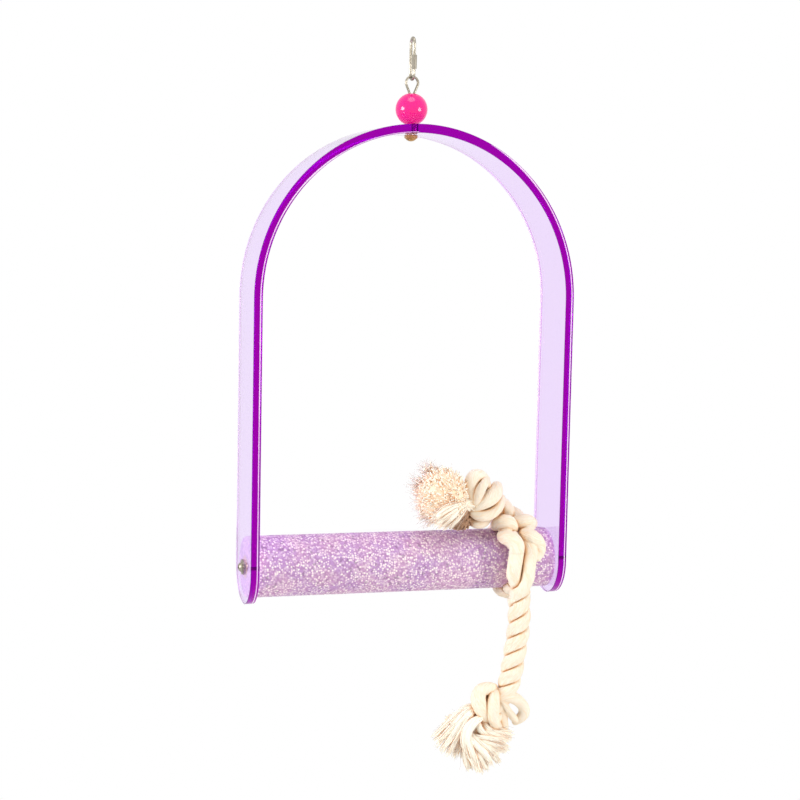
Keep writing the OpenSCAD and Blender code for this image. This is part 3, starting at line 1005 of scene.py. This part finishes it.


# Cotton: cream on the yarns, warm at random and as painted shade between them, and the dark shade colour as
# painted shade in hollows found by ambient occlusion and near a rope's axis.
def makeCotton(name, s, yarns):
    material, tree, shader = newMaterial(name)
    place = node(tree, "ShaderNodeTexCoord").outputs["UV"]
    laid = node(tree, "ShaderNodeGroup", {"Vector": place, "Count": s["yarns"]},
                node_tree=yarns).outputs
    skin = mixed(tree, ramp(tree, laid["Tone"], 0.35, 1.0), s["warm"], s["cream"])
    # painted shade: the grooves between yarns take the warm colour
    skin = mixed(tree, ramp(tree, laid["Height"], 0.2, 0.8), s["warm"], skin)
    # painted shade: hollows that ambient occlusion finds, and points with a low shade, take the dark shade
    # colour
    clear = node(tree, "ShaderNodeAmbientOcclusion", {"Distance": s["gap"]}, samples=8).outputs["AO"]
    lit = times(tree, ramp(tree, shadeOf(tree), 0.0, 0.62), ramp(tree, clear, *s["hollow"]))
    fill(tree, shader, {
        "Base Color": mixed(tree, lit, s["creaseShade"], skin),
        "Roughness": 0.95,
        "Sheen Weight": s["sheen"],
        "Sheen Roughness": 0.5,
        "Sheen Tint": s["cream"],
        "Alpha": s["cover"],
        "Normal": bump(tree, laid["Height"], s["relief"], 0.0005),
    })
    return material


yarnPattern = makeYarns()
cotton = makeCotton("cottonRope", cottonSettings, yarnPattern)
fray = makeCotton("frayedCotton", fraySettings, yarnPattern)
shadedFray = makeCotton("shadedCotton", shadedSettings, yarnPattern)
fluff = makeCotton("fluffCotton", fluffSettings, yarnPattern)


uvLength = 20  # mm of cotton for one step along its UV


def placeOnPerch(points):
    return points + perchAxis / mm


# Values read off a table of pairs, in a straight line between them.
def sampled(pairs, values):
    table = np.array(sorted(pairs), float)
    return np.interp(values, table[:, 0], table[:, 1])


# One strand of a twisted rope, as a grid. The rope's axis follows the path. The strand's middle
# stands apart from it, in the direction of its turn. Its skin is round where flat is 0. Where flat
# is 1 it is the smaller of two distances: to the rope's round outside, and to the plane through
# the axis where it meets the other strand. The shade is painted shade: 0 on the axis and 1 outside.
def strandGrid(path, turn, apart, radius, flat, full=0.62, around=24, spin=0.0):
    path = placeOnPerch(path)
    along, across, up = carriedFrames(path, (1, 0, 0))
    turn, apart, radius, flat = (np.broadcast_to(v, len(path))[:, None]
                                 for v in (turn, apart, radius, flat))
    out = np.cos(turn) * across + np.sin(turn) * up
    side = np.cross(along, out)
    angle = np.linspace(-np.pi, np.pi, around + 1)[None, :]
    chord = np.sqrt(np.maximum(radius**2 - (apart * np.sin(angle)) ** 2, 0.01))
    skin = np.maximum(chord - apart * np.cos(angle), 0.2)
    wall = np.maximum(apart, 0.2) / np.maximum(-np.cos(angle), 1e-3)
    least = (skin**-4.0 + wall**-4.0) ** -0.25
    reach = (1 - flat) * full * radius + flat * least
    ray = np.cos(angle)[..., None] * out[:, None] + np.sin(angle)[..., None] * side[:, None]
    points = path[:, None] + apart[..., None] * out[:, None] + reach[..., None] * ray
    fromAxis = np.linalg.norm(points - path[:, None], axis=-1) / radius
    creaseShade = np.clip((fromAxis - 0.5) / 0.5, 0, 1)
    shade = (1 - flat) * 0.85 + flat * creaseShade
    run = pathLengths(path)[:, None]
    twist = (turn + angle) / (2 * np.pi) + spin * run
    uv = np.stack([twist, np.broadcast_to(run / uvLength, twist.shape)], -1)
    return points[:, :-1], uv, shade[:, :-1]


# Two strands laid about one axis, half a turn apart. Each stands off it by a share of the radius.
def laidRope(path, turn, radius, flat, share=0.46):
    return joined(*(strandGrid(path, turn + half, share * radius, radius, flat)
                    for half in (0, np.pi)))


# The rope. Every place is in millimetres from the middle of the perch.
ropeSettings = {
    "radius": 7.4,
    "pitch": 24.1,
    "pivot": (75.88, -31.08, -33.88),
    "openAxis": [
        (78.5, -27, 16), (79, -30.5, 12.5), (78.4, -33, 9), (76.8, -35, 3.2), (76.1, -35, -4),
        (76.2, -33.8, -10.8), (76.6, -32, -17.6), (76.9, -31.3, -23.6), (76.9, -31.1, -26),
    ],
    "openTurn": [  # height, degrees
        (17, -12), (10, -8), (3, 0), (-4, 10), (-9, 25), (-13, 52), (-17.1, 110.6), (-23.1, 200.6),
        (-26, 243.9),
    ],
    "openApart": [  # height, how far each strand stands off the axis
        (17, 6.2), (10, 5.6), (3, 5.2), (-4, 5.2), (-9, 5), (-15, 3.9), (-20, 3.6), (-26, 3.6),
    ],
    "openRadius": (4.5, 5.2),  # right strand, left strand
    "openFlat": (-8, 10),  # the strands press flat from this height, over this much
    "openSpin": 1 / 60,  # turns of the yarns in a millimetre
    "hitch": [
        (56, -3, 46.5), (63.5, -2, 43), (70.5, -2, 38.7), (77.5, -3.5, 33.5), (82.5, -8, 29),
        (86, -14, 25.5), (87.5, -22, 18.5), (86.5, -26, 10.5), (82, -28, 1), (78.5, -25.5, -10),
        (77.3, -17, -17.8), (77, -6, -22.8), (76.5, 5, -23.4), (76.5, 16, -19.5), (76.5, 24.5, -9),
        (76.5, 26.5, 3), (76.5, 22.5, 14), (75.8, 12.5, 23.2), (73.8, -1, 26.3), (72, -11.3, 25),
        (72.1, -21.5, 19.5), (74.6, -27.8, 11.9),
    ],
    "hitchTurn": [(0, -476), (240, 3109)],  # run, degrees
    "hitchRadius": [  # run, radius
        (0, 6), (14, 6.3), (26, 6.3), (36, 6), (54, 6), (66, 6.5), (95, 5.6), (130, 5.4), (185, 6.2),
        (226, 5.8), (234, 5),
    ],
    "hitchFlat": 0.62,
    "tail": [
        (76.4, -31, -23.5), (76.5, -31.1, -28), (76.8, -31.1, -33.9), (76.6, -31.1, -44.2),
        (75.1, -31.1, -55.5), (73.5, -31.1, -66.9), (72, -31.1, -76.8), (69.5, -31, -86.7),
        (66.5, -30, -93.7), (63.7, -29, -100.7), (61, -28.5, -107.7), (58, -28.5, -112.5),
    ],
    "tailRadius": 8.0,
    "tailFlat": 0.75,
    "tailMatch": (-23.1, 200.6),  # height and turn at which it meets the open strands
    "tailThins": (58, 60, 0.72),  # from this run, over this much, and no further than this share
}


# The strands opened over the tuck: each turns slowly about the rope's axis, far from it at first,
# and presses flat against the other where the rope is laid again.
def makeOpenStrands(s):
    path = smoothPath(s["openAxis"], 60)
    height = path[:, 2]
    turn = np.radians(sampled(s["openTurn"], height))
    apart = sampled(s["openApart"], height)
    level, over = s["openFlat"]
    flat = np.clip((level - height) / over, 0, 1)
    for name, half, thick in zip(("right", "left"), (0, np.pi), s["openRadius"]):
        grid = strandGrid(path, turn + half, apart, s["radius"], flat, thick / s["radius"],
                          spin=s["openSpin"])
        piece = addTubes("ropeStrand" + name.title(), *joined(grid), dome=2.0)
        dressed(piece, "swing", cotton, "cotton_rope", "rope_strand_" + name)


# The rope's turn round the perch.
def makeHitch(s):
    path = smoothPath(s["hitch"], 260)
    run = pathLengths(path)
    turn, radius = np.radians(sampled(s["hitchTurn"], run)), sampled(s["hitchRadius"], run)
    piece = addTubes("ropeHitch", *laidRope(path, turn, radius, s["hitchFlat"]), dome=2.5)
    dressed(piece, "swing", cotton, "cotton_rope", "rope_hitch")


# The hanging length, laid to match the open strands where they close. It runs on as the core of
# the lower knot.
def makeTail(s):
    path = smoothPath(s["tail"], 260)
    run = pathLengths(path)
    height, degrees = s["tailMatch"]
    matched = np.interp(-height, -path[:, 2], run)
    turn = np.radians(degrees) + 2 * np.pi * (run - matched) / s["pitch"]
    start, over, least = s["tailThins"]
    radius = s["tailRadius"] * np.clip(1 - (run - start) / over, least, 1)
    piece = addTubes("ropeTail", *laidRope(path, turn, radius, s["tailFlat"]), dome=2.5)
    piece.data.materials.append(cotton)
    return piece, placeOnPerch(path) * mm


makeOpenStrands(ropeSettings)
makeHitch(ropeSettings)
tail, tailPath = makeTail(ropeSettings)
print("rope made")

# The knots: bands of rope over and under each other, as x, y, z and the radius at each point
knotSettings = {
    "lower": [
        [(60.3, -28, -87.2, 3.6), (55, -31, -86.2, 4.6), (49.2, -33, -86.9, 5), (47.1, -34, -91.5, 5.2),
         (47.9, -35, -96.9, 5.1), (50.2, -35, -102, 4.6), (54, -33, -106.9, 3.6), (60.1, -28, -111.1, 3)],
        [(60.9, -30, -89.2, 3.2), (58, -36, -91.5, 4), (56.7, -38.5, -97.3, 4.3),
         (56.9, -38.5, -103.9, 4.3), (58.9, -36, -109.6, 3.8), (63.4, -31, -113.7, 3)],
        [(62, -31, -94.7, 3.2), (65.3, -33.5, -92.2, 3.8), (71.1, -34, -92.4, 4),
         (76.9, -33.5, -95.4, 4.1), (81.5, -32, -100.6, 4.1), (82.4, -31, -105.4, 3.9),
         (79.9, -30, -109.3, 3.4), (77.3, -28, -112.1, 2.6)],
        [(64.3, -33, -94.3, 2.4), (67, -34, -98.3, 2.6), (70.9, -33, -103.8, 2.6),
         (75.7, -31, -109.1, 2.6), (79.5, -29, -111.2, 2.4)],
        [(64.1, -30, -96, 3.6), (66.4, -30, -102.7, 3.8), (67.8, -29, -110.5, 3.4), (69.6, -27, -116.1, 3)],
        [(54.3, -26, -89.9, 5), (57.9, -26, -98.3, 5.6), (62.4, -26, -106.8, 5), (65.1, -26, -112, 4)],
        [(65.9, -27, -90.3, 5), (61.8, -27, -98.3, 5.5), (55.6, -28, -102.6, 5), (53.7, -29, -106.3, 4)],
    ],
    "upper": [
        [(46.5, -16, 39.7, 2.2), (45.1, -17.5, 45.7, 3.2), (43.7, -18, 52.3, 4.1), (43.7, -18, 58, 4.7),
         (46.9, -17, 61.9, 4.7), (52.2, -15, 60.8, 4.4), (55.6, -13, 56.3, 3.8), (58, -10, 50, 3.4)],
        [(55.3, -17, 59.4, 2.4), (52.1, -21.5, 57.2, 3.1), (49.2, -23.5, 53.7, 3.4),
         (47.4, -23.5, 49.4, 3.2), (46.8, -21, 44.8, 2.6), (47.4, -17, 39.8, 1.8)],
        [(65.5, -10, 53.5, 4), (63.4, -14, 50.1, 5), (58.5, -18.5, 46.8, 5.4), (53.3, -20.5, 43.9, 5),
         (49.5, -20, 41.3, 3.6), (47.2, -17, 38.7, 2.4)],
        [(44.8, -14, 37.2, 2.6), (46.9, -17, 35.1, 3.4), (51.3, -19.5, 34, 3.8), (57.3, -19.5, 34.8, 3.9),
         (62.3, -18, 37.4, 3.8), (66.3, -15, 41.2, 3.4), (68.8, -10, 44.7, 3)],
        [(45.5, -8, 31.2, 2.6), (47.6, -11, 28.3, 3), (51, -13, 27.1, 3.2), (55.6, -12, 27.6, 3.1),
         (59.6, -11, 30.4, 2.6)],
        [(48.4, -6, 35.1, 4), (51.6, -6, 43, 5), (57.9, -6, 49.4, 5.2), (63.3, -6, 46.4, 5),
         (66.5, -6, 39, 4.6)],
        [(50.1, -9, 47.2, 4.2), (51.4, -10, 53.8, 4.4), (54, -10, 55.9, 4.2), (58.3, -9, 52.8, 4.2)],
        [(50.3, -5, 32, 4), (55.3, -8, 35.3, 5.5), (62.9, -8, 35.8, 5.5), (68.1, -6, 37.5, 4.5)],
    ],
    "front": [  # the strands that cross in front, where the rope goes over the perch
        [(74.2, -3, 35.1, 3.4), (77.3, -4, 33.4, 4.2), (80.7, -5, 31.4, 4.6), (83.5, -6, 29.4, 4)],
        [(79.5, -7, 25.8, 3.6), (80.7, -13, 27.7, 4.8), (83.5, -17, 29, 5.3), (87.6, -16, 28.2, 5.1),
         (91.5, -12, 26.2, 4.4)],
        [(83.2, -17, 20.5, 3.6), (84.2, -23, 20.2, 4.9), (86.2, -28, 19, 5.6), (89.6, -27.5, 16.4, 5.4),
         (92.3, -25.5, 12.4, 4.8), (92.8, -24.8, 8.5, 4.4), (90.2, -26, 4.4, 4)],
        [(67, -5, 23.9, 3.7), (66.5, -12, 27.1, 4.8), (68, -17, 28.9, 5.1), (71.3, -19, 28.5, 5.1),
         (74.6, -18, 25.5, 4.5), (77.2, -14.5, 22.4, 3.4)],
        [(67.4, -17, 19.1, 3.6), (67.6, -23, 19, 4.9), (69.4, -28, 19.1, 5.7), (71.4, -31.5, 17.6, 5.6),
         (72.7, -33.5, 14.5, 5.3), (72.5, -34.5, 10, 5)],
    ],
    "waver": 0.035,  # how much a band swells and shrinks
    "spin": 1 / 55,
}


# One band: a round strand whose radius swells and shrinks as a sine of its run.
def bandGrid(points, count=56, around=22):
    path = smoothPath(points, count)
    place, radius = path[:, :3], path[:, 3]
    swell = 1 + knotSettings["waver"] * np.sin(pathLengths(place) / 3.1 + radius[0] * 9)
    return strandGrid(place, 0.0, 0.0, radius * swell, 0.0, 1.0, around, knotSettings["spin"])


# A knot is its bands in one mesh.
def makeKnot(name, bands, body, replaced):
    piece = addTubes(name, *joined(*map(bandGrid, bands)), dome=2.5)
    return dressed(piece, body, cotton, "cotton_rope", replaced)


makeKnot("hitchFront", knotSettings["front"], "swing", "rope_hitch")
makeKnot("upperKnot", knotSettings["upper"], "swing", "rope_upper_knot")
lowerKnot = makeKnot("lowerKnot", knotSettings["lower"], "rope_tail", "rope_lower_knot")
print("knots made")

# The frayed ends are made of brushes, whose yarns leave the knot together and end on an ellipsoid,
# and of locks, each with its own path and radius. A layer of yarns has a name, a count, how much
# it curls, how far out it stands, its radius and its sides.
brushBase = {"floor": 22.2, "pull": (0.3, 0.3), "packed": False}
tasselSettings = {
    "brushes": [
        {**brushBase, "from": (45.5, -16, 42), "middle": (22, -18, 48.5), "radii": (18.5, 17.5, 20.5),
         "yarns": 1350, "fibres": 150, "pull": (0.18, 0.5), "packed": True},
        {**brushBase, "from": (24, -16, 58), "middle": (11, -15, 68), "radii": (5, 4, 5.5),
         "yarns": 10, "fibres": 110},
        {**brushBase, "from": (18, -16, 52), "middle": (4, -15, 57), "radii": (5, 4, 6),
         "yarns": 10, "fibres": 110},
        {**brushBase, "from": (24, -16, 46), "middle": (7, -15, 45), "radii": (5, 6, 8),
         "yarns": 10, "fibres": 130},
        {**brushBase, "from": (28, -16, 42), "middle": (12, -15, 33), "radii": (6, 6, 7),
         "yarns": 10, "fibres": 130},
    ],
    # a tuft under the brush, in the cotton with painted shade
    "tuft": [
        {**brushBase, "from": (47, -10, 36), "middle": (37.5, -12, 30), "radii": (9.5, 8, 7),
         "yarns": 260, "fibres": 20, "pull": (0.6, 0.2), "packed": True},
    ],
    "upperFront": [  # locks over the front of the big brush
        [(42.6, -16, 44.6, 1.6), (31.3, -29, 44.7, 1.9), (22, -35.5, 42.8, 2), (16.1, -36, 39.6, 1.7),
         (14, -35, 37.4, 1.4)],
        [(42.9, -15, 44.1, 1.6), (32.2, -27.5, 42.7, 1.9), (23.6, -33, 39.2, 2), (17.6, -33, 34.9, 1.7),
         (16, -31.5, 32.3, 1.4)],
        [(43.6, -14, 43.5, 1.6), (33.8, -25, 41.2, 1.9), (26.3, -30.5, 37, 2), (20.8, -30, 32.2, 1.7),
         (19.1, -28.5, 29.9, 1.4)],
        [(44, -13, 43, 1.6), (36.3, -22, 39.9, 1.9), (29.5, -27.5, 35.8, 2), (24.7, -27, 30.9, 1.7),
         (23.4, -25.5, 28.6, 1.4)],
        [(44, -13, 42.9, 1.4), (38.4, -20, 39.6, 1.7), (32.6, -24.5, 34.8, 1.8), (28.2, -24, 30, 1.5),
         (27.1, -23, 28.1, 1.3)],
    ],
    "upperUnder": [  # locks in its shade, in the cotton with painted shade
        [(44.7, -12, 42.4, 1.9), (40.9, -16, 38.5, 2.3), (35.8, -18.5, 34.1, 2.5),
         (31.1, -19.5, 29.5, 2.2), (29.5, -19, 27.3, 1.8)],
        [(45.4, -11, 41.8, 1.9), (43.1, -14, 37.4, 2.3), (39.6, -16, 32.9, 2.5), (35.7, -17, 28.6, 2.2),
         (34.4, -16.5, 26.4, 1.8)],
        [(46.2, -10, 41.3, 1.9), (45.2, -12, 37, 2.2), (43, -13.5, 32.4, 2.4), (40.3, -14, 27.9, 2.1),
         (39.3, -14, 26.2, 1.8)],
    ],
    "locks": [  # each a depth, and the x, z and radius of its points
        (-25, [(48.1, -100.1, 1.6), (41.2, -99, 2.2), (35.4, -102.3, 2.3), (29.2, -108.1, 2.2),
         (23, -113.8, 1.9), (18.5, -118.1, 1.2)]),
        (-27, [(47.6, -100.3, 1.6), (41, -100.5, 2.2), (35.2, -105, 2.4), (29.9, -111.3, 2.3),
         (24.1, -117.8, 2), (20.1, -122.5, 1.2)]),
        (-29, [(47.1, -100.6, 1.6), (41, -102.4, 2.1), (36.1, -107.8, 2.3), (31.2, -114.9, 2.3),
         (26.5, -121.1, 2), (22.9, -126.2, 1.2)]),
        (-30, [(46.9, -101.1, 1.6), (41.3, -104.2, 2), (37.2, -110.1, 2.2), (33.2, -117.2, 2.2),
         (29.6, -123.5, 2), (26.8, -129, 1.2)]),
        (-28, [(47.6, -102.1, 1.6), (42.5, -106, 2), (39.1, -112.8, 2.1), (36.2, -120, 2.1),
         (33.9, -126.8, 1.9), (31.7, -132, 1.1)]),
        (-26, [(48.7, -103.1, 1.6), (44.2, -107.9, 1.9), (41.7, -115.1, 2), (39.7, -122, 1.9),
         (38.4, -128.1, 1.7), (37.2, -132.5, 1)]),
        (-35, [(48.6, -105.2, 1.8), (41.9, -106.5, 2.2), (37.5, -111.1, 2.4), (35.7, -117.1, 2.4),
         (36.5, -123.3, 2.2), (38.6, -128.7, 1.3)]),
        (-37, [(48.3, -105.4, 1.8), (42.4, -107.6, 2), (38.7, -112.6, 2.2), (37.9, -118.7, 2.3),
         (40.2, -125.8, 2.2), (43.4, -132.9, 1.9), (45.3, -138.4, 1.1)]),
        (-37.5, [(39.6, -117, 1.6), (40.8, -119.6, 2.1), (45.2, -124.3, 2.3), (49.9, -128.7, 2.2),
         (53.4, -133.4, 1.8), (54.7, -136.4, 1.1)]),
        (-36.5, [(41.2, -116.1, 1.2), (44.1, -118.8, 1.5), (49.7, -123.4, 1.6), (54.9, -127.7, 1.5),
         (58.3, -131.2, 1)]),
        (-34, [(38.8, -123.6, 2), (39.7, -129.1, 2.4), (43.3, -135, 2.3), (46.3, -139.7, 1.9),
         (48.1, -143.2, 1.1)]),
        (-35, [(44.5, -125.4, 2), (46.2, -129.6, 2.3), (49.2, -134.3, 2.2), (51.5, -138.6, 1.8),
         (52.4, -141.1, 1.1)]),
        (-30, [(39.8, -123.2, 1.8), (38.1, -128.5, 2.1), (39.1, -134.3, 2.1), (40.9, -139.4, 1.7),
         (41.8, -141.5, 1)]),
        (-37, [(42.7, -117.3, 1), (46.4, -117.4, 1.3), (53.2, -118.5, 1.4), (60, -120.1, 1.3),
         (65.5, -122.1, 0.8)]),
        (-36, [(44.4, -118.9, 1), (48.9, -120.3, 1.3), (55.8, -122.8, 1.4), (62.2, -124.9, 1.3),
         (67.3, -126.6, 0.8)]),
        (-35, [(46.9, -120.6, 1.1), (51.5, -123.2, 1.4), (57.1, -126.5, 1.4), (62.6, -129.1, 0.9)]),
        (-33, [(52.5, -113.3, 1.6), (56.2, -114.9, 1.9), (63, -117, 1.8), (70.3, -117.6, 1)]),
        (-34, [(50.9, -114.6, 1.6), (55, -116.2, 1.9), (61.9, -118.6, 1.8), (68.7, -121.5, 1)]),
        (-34, [(46.9, -108.6, 2), (47.3, -112.4, 2.2), (50.8, -116.3, 2), (56.8, -119.1, 1.4)]),
        (-32, [(52.7, -109.5, 2), (53.5, -112.5, 2.2), (58.3, -116.1, 2), (65.1, -119, 1.2)]),
        (-26, [(61.7, -114.2, 2), (63.8, -115.7, 2.2), (68.1, -118.5, 2), (72.5, -122, 1.2)]),
        (-29, [(57.5, -122.2, 2.2), (60.4, -124.5, 2.4), (64.7, -127.3, 2.2), (69.1, -130.9, 1.3)]),
        (-30, [(52.2, -127.3, 2.2), (55.1, -129.6, 2.4), (59.4, -133.2, 2.2), (63, -137.6, 1.3)]),
    ],
    "behind": [  # the yarns behind the locks
        {"from": (56, -27, -106), "middle": (52, -27, -119), "radii": (16, 9.5, 18), "floor": -170,
         "yarns": 620, "fibres": 60, "pull": (0.45, 0.15), "packed": True},
        {"from": (50, -27, -102), "middle": (33, -27, -114), "radii": (9.5, 7, 11), "floor": -170,
         "yarns": 260, "fibres": 30, "pull": (0.45, 0.15), "packed": True},
    ],
    "lockForward": 4,  # a lock hangs this far in front of where it leaves the knot
    "brushLayers": [("", "yarns", 0.5, 1.0, (0.6, 0.9), 5),
                    ("Fluff", "fibres", 1.75, 1.1, (0.12, 0.18), 3)],
    "lockLayers": [("", 16, 0.3, 1.0, (0.32, 0.48), 5), ("Fluff", 6, 1.5, 1.3, (0.12, 0.18), 3)],
    "splay": 0.9,  # how much a lock's yarns spread at its end
    "share": (0.5, 0.85),  # how far out in its lock a yarn lies
    "leastRadius": 1.4,  # a lock's yarns take its radius as no less
    "lockTurn": (2.4, 0.4, 0.8),  # from one yarn to the next, by chance, and along the lock
    "lengths": (-0.1, 0.12),  # how much longer a lock's yarn is
    "root": 1.5,  # how far apart a brush's yarns leave the knot
    "clear": 0.75,  # a brush has no ends further towards the knot
    "ends": (0.87, 1.02),  # where a brush's yarns end, as a share of its radius
    "fill": 0.87,
    "rings": 8,
    "side": (0.3, 0.2, 1),  # no yarn runs this way
}


# A small bend of every path: two sines of its run, which grow along it.
def curled(paths, t, size):
    phase = random.uniform(0, 2 * np.pi, (2, len(paths), 1, 3))
    rate = random.uniform(3.0, 7.0, (2, len(paths), 1, 3))
    wave = np.sin(rate[0] * t + phase[0]) + 0.5 * np.sin(2.1 * rate[1] * t + phase[1])
    return paths + size * (wave - np.sin(phase[0]) - 0.5 * np.sin(phase[1])) * t


# A brush's paths. Each is a quadratic curve from the knot to a place on the ellipsoid. Its control
# point stands between the ellipsoid's middle and the knot, nearer the knot for yarns that end low.
def brushPaths(b, count, curl, wider, s):
    count = b[count]
    middle, radii, knot = (np.array(b[key], float) for key in ("middle", "radii", "from"))
    tip = unit(random.normal(size=(count, 3)))
    side = unit((knot - middle) / radii)
    tip = unit(tip - np.maximum(tip @ side - s["clear"], 0)[:, None] * side * 2)
    end = middle + radii * tip * random.uniform(*s["ends"], (count, 1)) * wider
    pull = b["pull"][0] + b["pull"][1] * np.maximum(-tip[:, 2:], 0)
    bend = middle + pull * (knot - middle)
    t = np.linspace(0, 1, s["rings"])[None, :, None]
    start = knot + s["root"] * random.normal(size=(count, 1, 3))
    paths = (1 - t) ** 2 * start + 2 * t * (1 - t) * bend[:, None] + t**2 * end[:, None]
    paths = curled(paths, t, curl)
    low = b["floor"] + random.uniform(0, 2, (count, 1)) * t[..., 0]
    paths[..., 2] = np.maximum(paths[..., 2], low)
    return paths


# A lock's yarns lie round its path, at a share of its radius, and part from each other at its end.
# The spread is the share times one more than the splay times the cube of the run.
def lockPaths(lock, count, curl, wider, s):
    line = smoothPath(lock, s["rings"] + 2)
    place, radius = line[:, :3], line[:, 3]
    step, chance, twist = s["lockTurn"]
    angle = np.arange(count) * step + random.uniform(-chance, chance, count)
    out = random.uniform(*s["share"], (count, 1, 1)) * wider
    t = np.linspace(0, 1, len(line))[None, :, None]
    _, across, up = carriedFrames(place, s["side"])
    turn = angle[:, None, None] + twist * t
    spread = out * (1 + s["splay"] * t**3)
    ray = np.cos(turn) * across + np.sin(turn) * up
    paths = place + spread * np.maximum(radius, s["leastRadius"])[:, None] * ray
    longer = random.uniform(*s["lengths"], (count, 1, 1))
    last = paths[:, -1:] - paths[:, -2:-1]
    steps = len(line) - 1
    return curled(paths + last * longer * steps * t**2, t, curl)


# Thin tubes along many paths, each with its own place in the yarn pattern and a random tone, with painted
# shade that lightens further out.
def hairGrids(paths, radius, around, side):
    angle = np.linspace(0, 2 * np.pi, around + 1)
    rings = paths.shape[1]
    thin = radius[:, None] * np.linspace(1, 0.8, rings)[None, :]
    points = placeOnPerch(roundPath(paths, thin[..., None], angle, side))
    own = random.uniform(0, 1, (len(paths), 1, 1))
    run = pathLengths(paths)[:, :, None] / uvLength + own
    twist = np.broadcast_to(angle / (2 * np.pi) * 0.2 + own * 5, run.shape[:2] + (len(angle),))
    uv = np.stack([twist, np.broadcast_to(run, twist.shape)], -1)
    outward = np.linspace(0, 1, rings)[None, :, None] ** 0.6
    shade = np.broadcast_to(0.55 + 0.45 * outward - 0.1 * own, twist.shape)
    return points[:, :, :-1], uv, shade[:, :, :-1]


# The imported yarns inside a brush, as one uneven ellipsoid that the spread ones stand on.
def coreGrid(b, fillShare, rings=20, around=32):
    angle = np.linspace(0.15, np.pi - 0.15, rings)[:, None]
    turn = np.linspace(0, 2 * np.pi, around + 1)[None, :]
    ray = np.stack(np.broadcast_arrays(np.cos(angle), np.sin(angle) * np.cos(turn),
                                       np.sin(angle) * np.sin(turn)), -1)
    swell = fillShare + 0.02 * np.sin(5 * turn + 6 * angle)[..., None]
    points = placeOnPerch(np.array(b["middle"], float) + ray * swell * np.array(b["radii"], float))
    points[..., 2] = np.maximum(points[..., 2], b["floor"] + 1 + perchAxis[2] / mm)
    uv = np.stack(np.broadcast_arrays(turn / 6, angle), -1)
    # a low shade: the core takes the dark shade colour in part, as painted shade between the spread yarns
    return points[:, :-1], uv, np.full(points[:, :-1].shape[:2], 0.3)


# The layers of one frayed part, each a mesh: yarns, and finer fibres beyond them.
def makeHair(name, items, pathsOf, layers, s):
    made = []
    for label, count, curl, wider, radius, around in layers:
        paths = np.concatenate([pathsOf(item, count, curl, wider, s) for item in items])
        thick = random.uniform(*radius, len(paths))
        grids = hairGrids(paths, thick, around, s["side"])
        made.append(addTubes(name + label, *grids, dome=0.4 * thick[0], bends=(45,)))
    return made


# Brushes share one mesh for each layer and one for their cores.
def makeBrushes(name, brushes, s):
    made = makeHair(name, brushes, brushPaths, s["brushLayers"], s)
    cores = joined(*(coreGrid(b, s["fill"]) for b in brushes if b["packed"]))
    return made + [addTubes(name + "Core", *cores, dome=0.5)]


# Locks too. The core of a lock is a band along its path.
def makeLocks(name, locks, s):
    made = makeHair(name, locks, lockPaths, s["lockLayers"], s)
    cores = joined(*(bandGrid(lock, 28, 16) for lock in locks))
    return made + [addTubes(name + "Core", *cores, dome=0.8)]


# A hanging lock's points: the first stands at its depth, and the others in front of that.
def hungLock(depth, rows, forward):
    return [(x, depth - forward * (place > 0), z, radius) for place, (x, z, radius) in enumerate(rows)]


# The fluff of a shaded part is shaded too. Gives the pieces that hang on the rope's end.
def makeTassels(s):
    hung = [hungLock(depth, rows, s["lockForward"]) for depth, rows in s["locks"]]
    lower = []
    for name, make, items, material, body, replaced in (
            ("upperTassel", makeBrushes, s["brushes"], fray, "swing", "rope_upper_tassel"),
            ("upperTuft", makeBrushes, s["tuft"], shadedFray, "swing", "rope_upper_tassel"),
            ("upperFront", makeLocks, s["upperFront"], fray, "swing", "rope_upper_tassel"),
            ("upperUnder", makeLocks, s["upperUnder"], shadedFray, "swing", "rope_upper_tassel"),
            ("lowerTassel", makeLocks, hung, fray, "rope_tail", "rope_lower_tassel"),
            ("lowerBrush", makeBrushes, s["behind"], fray, "rope_tail", "rope_lower_tassel")):
        for part in make(name, items, s):
            loose = part.name.endswith("Fluff") and material is fray
            dressed(part, body, fluff if loose else material, "cotton_rope", replaced)
            if body == "rope_tail":
                lower.append(part)
    return lower


lowerParts = makeTassels(tasselSettings)
print("tassels made")

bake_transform(tail)
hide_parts("rope_hanging_length")
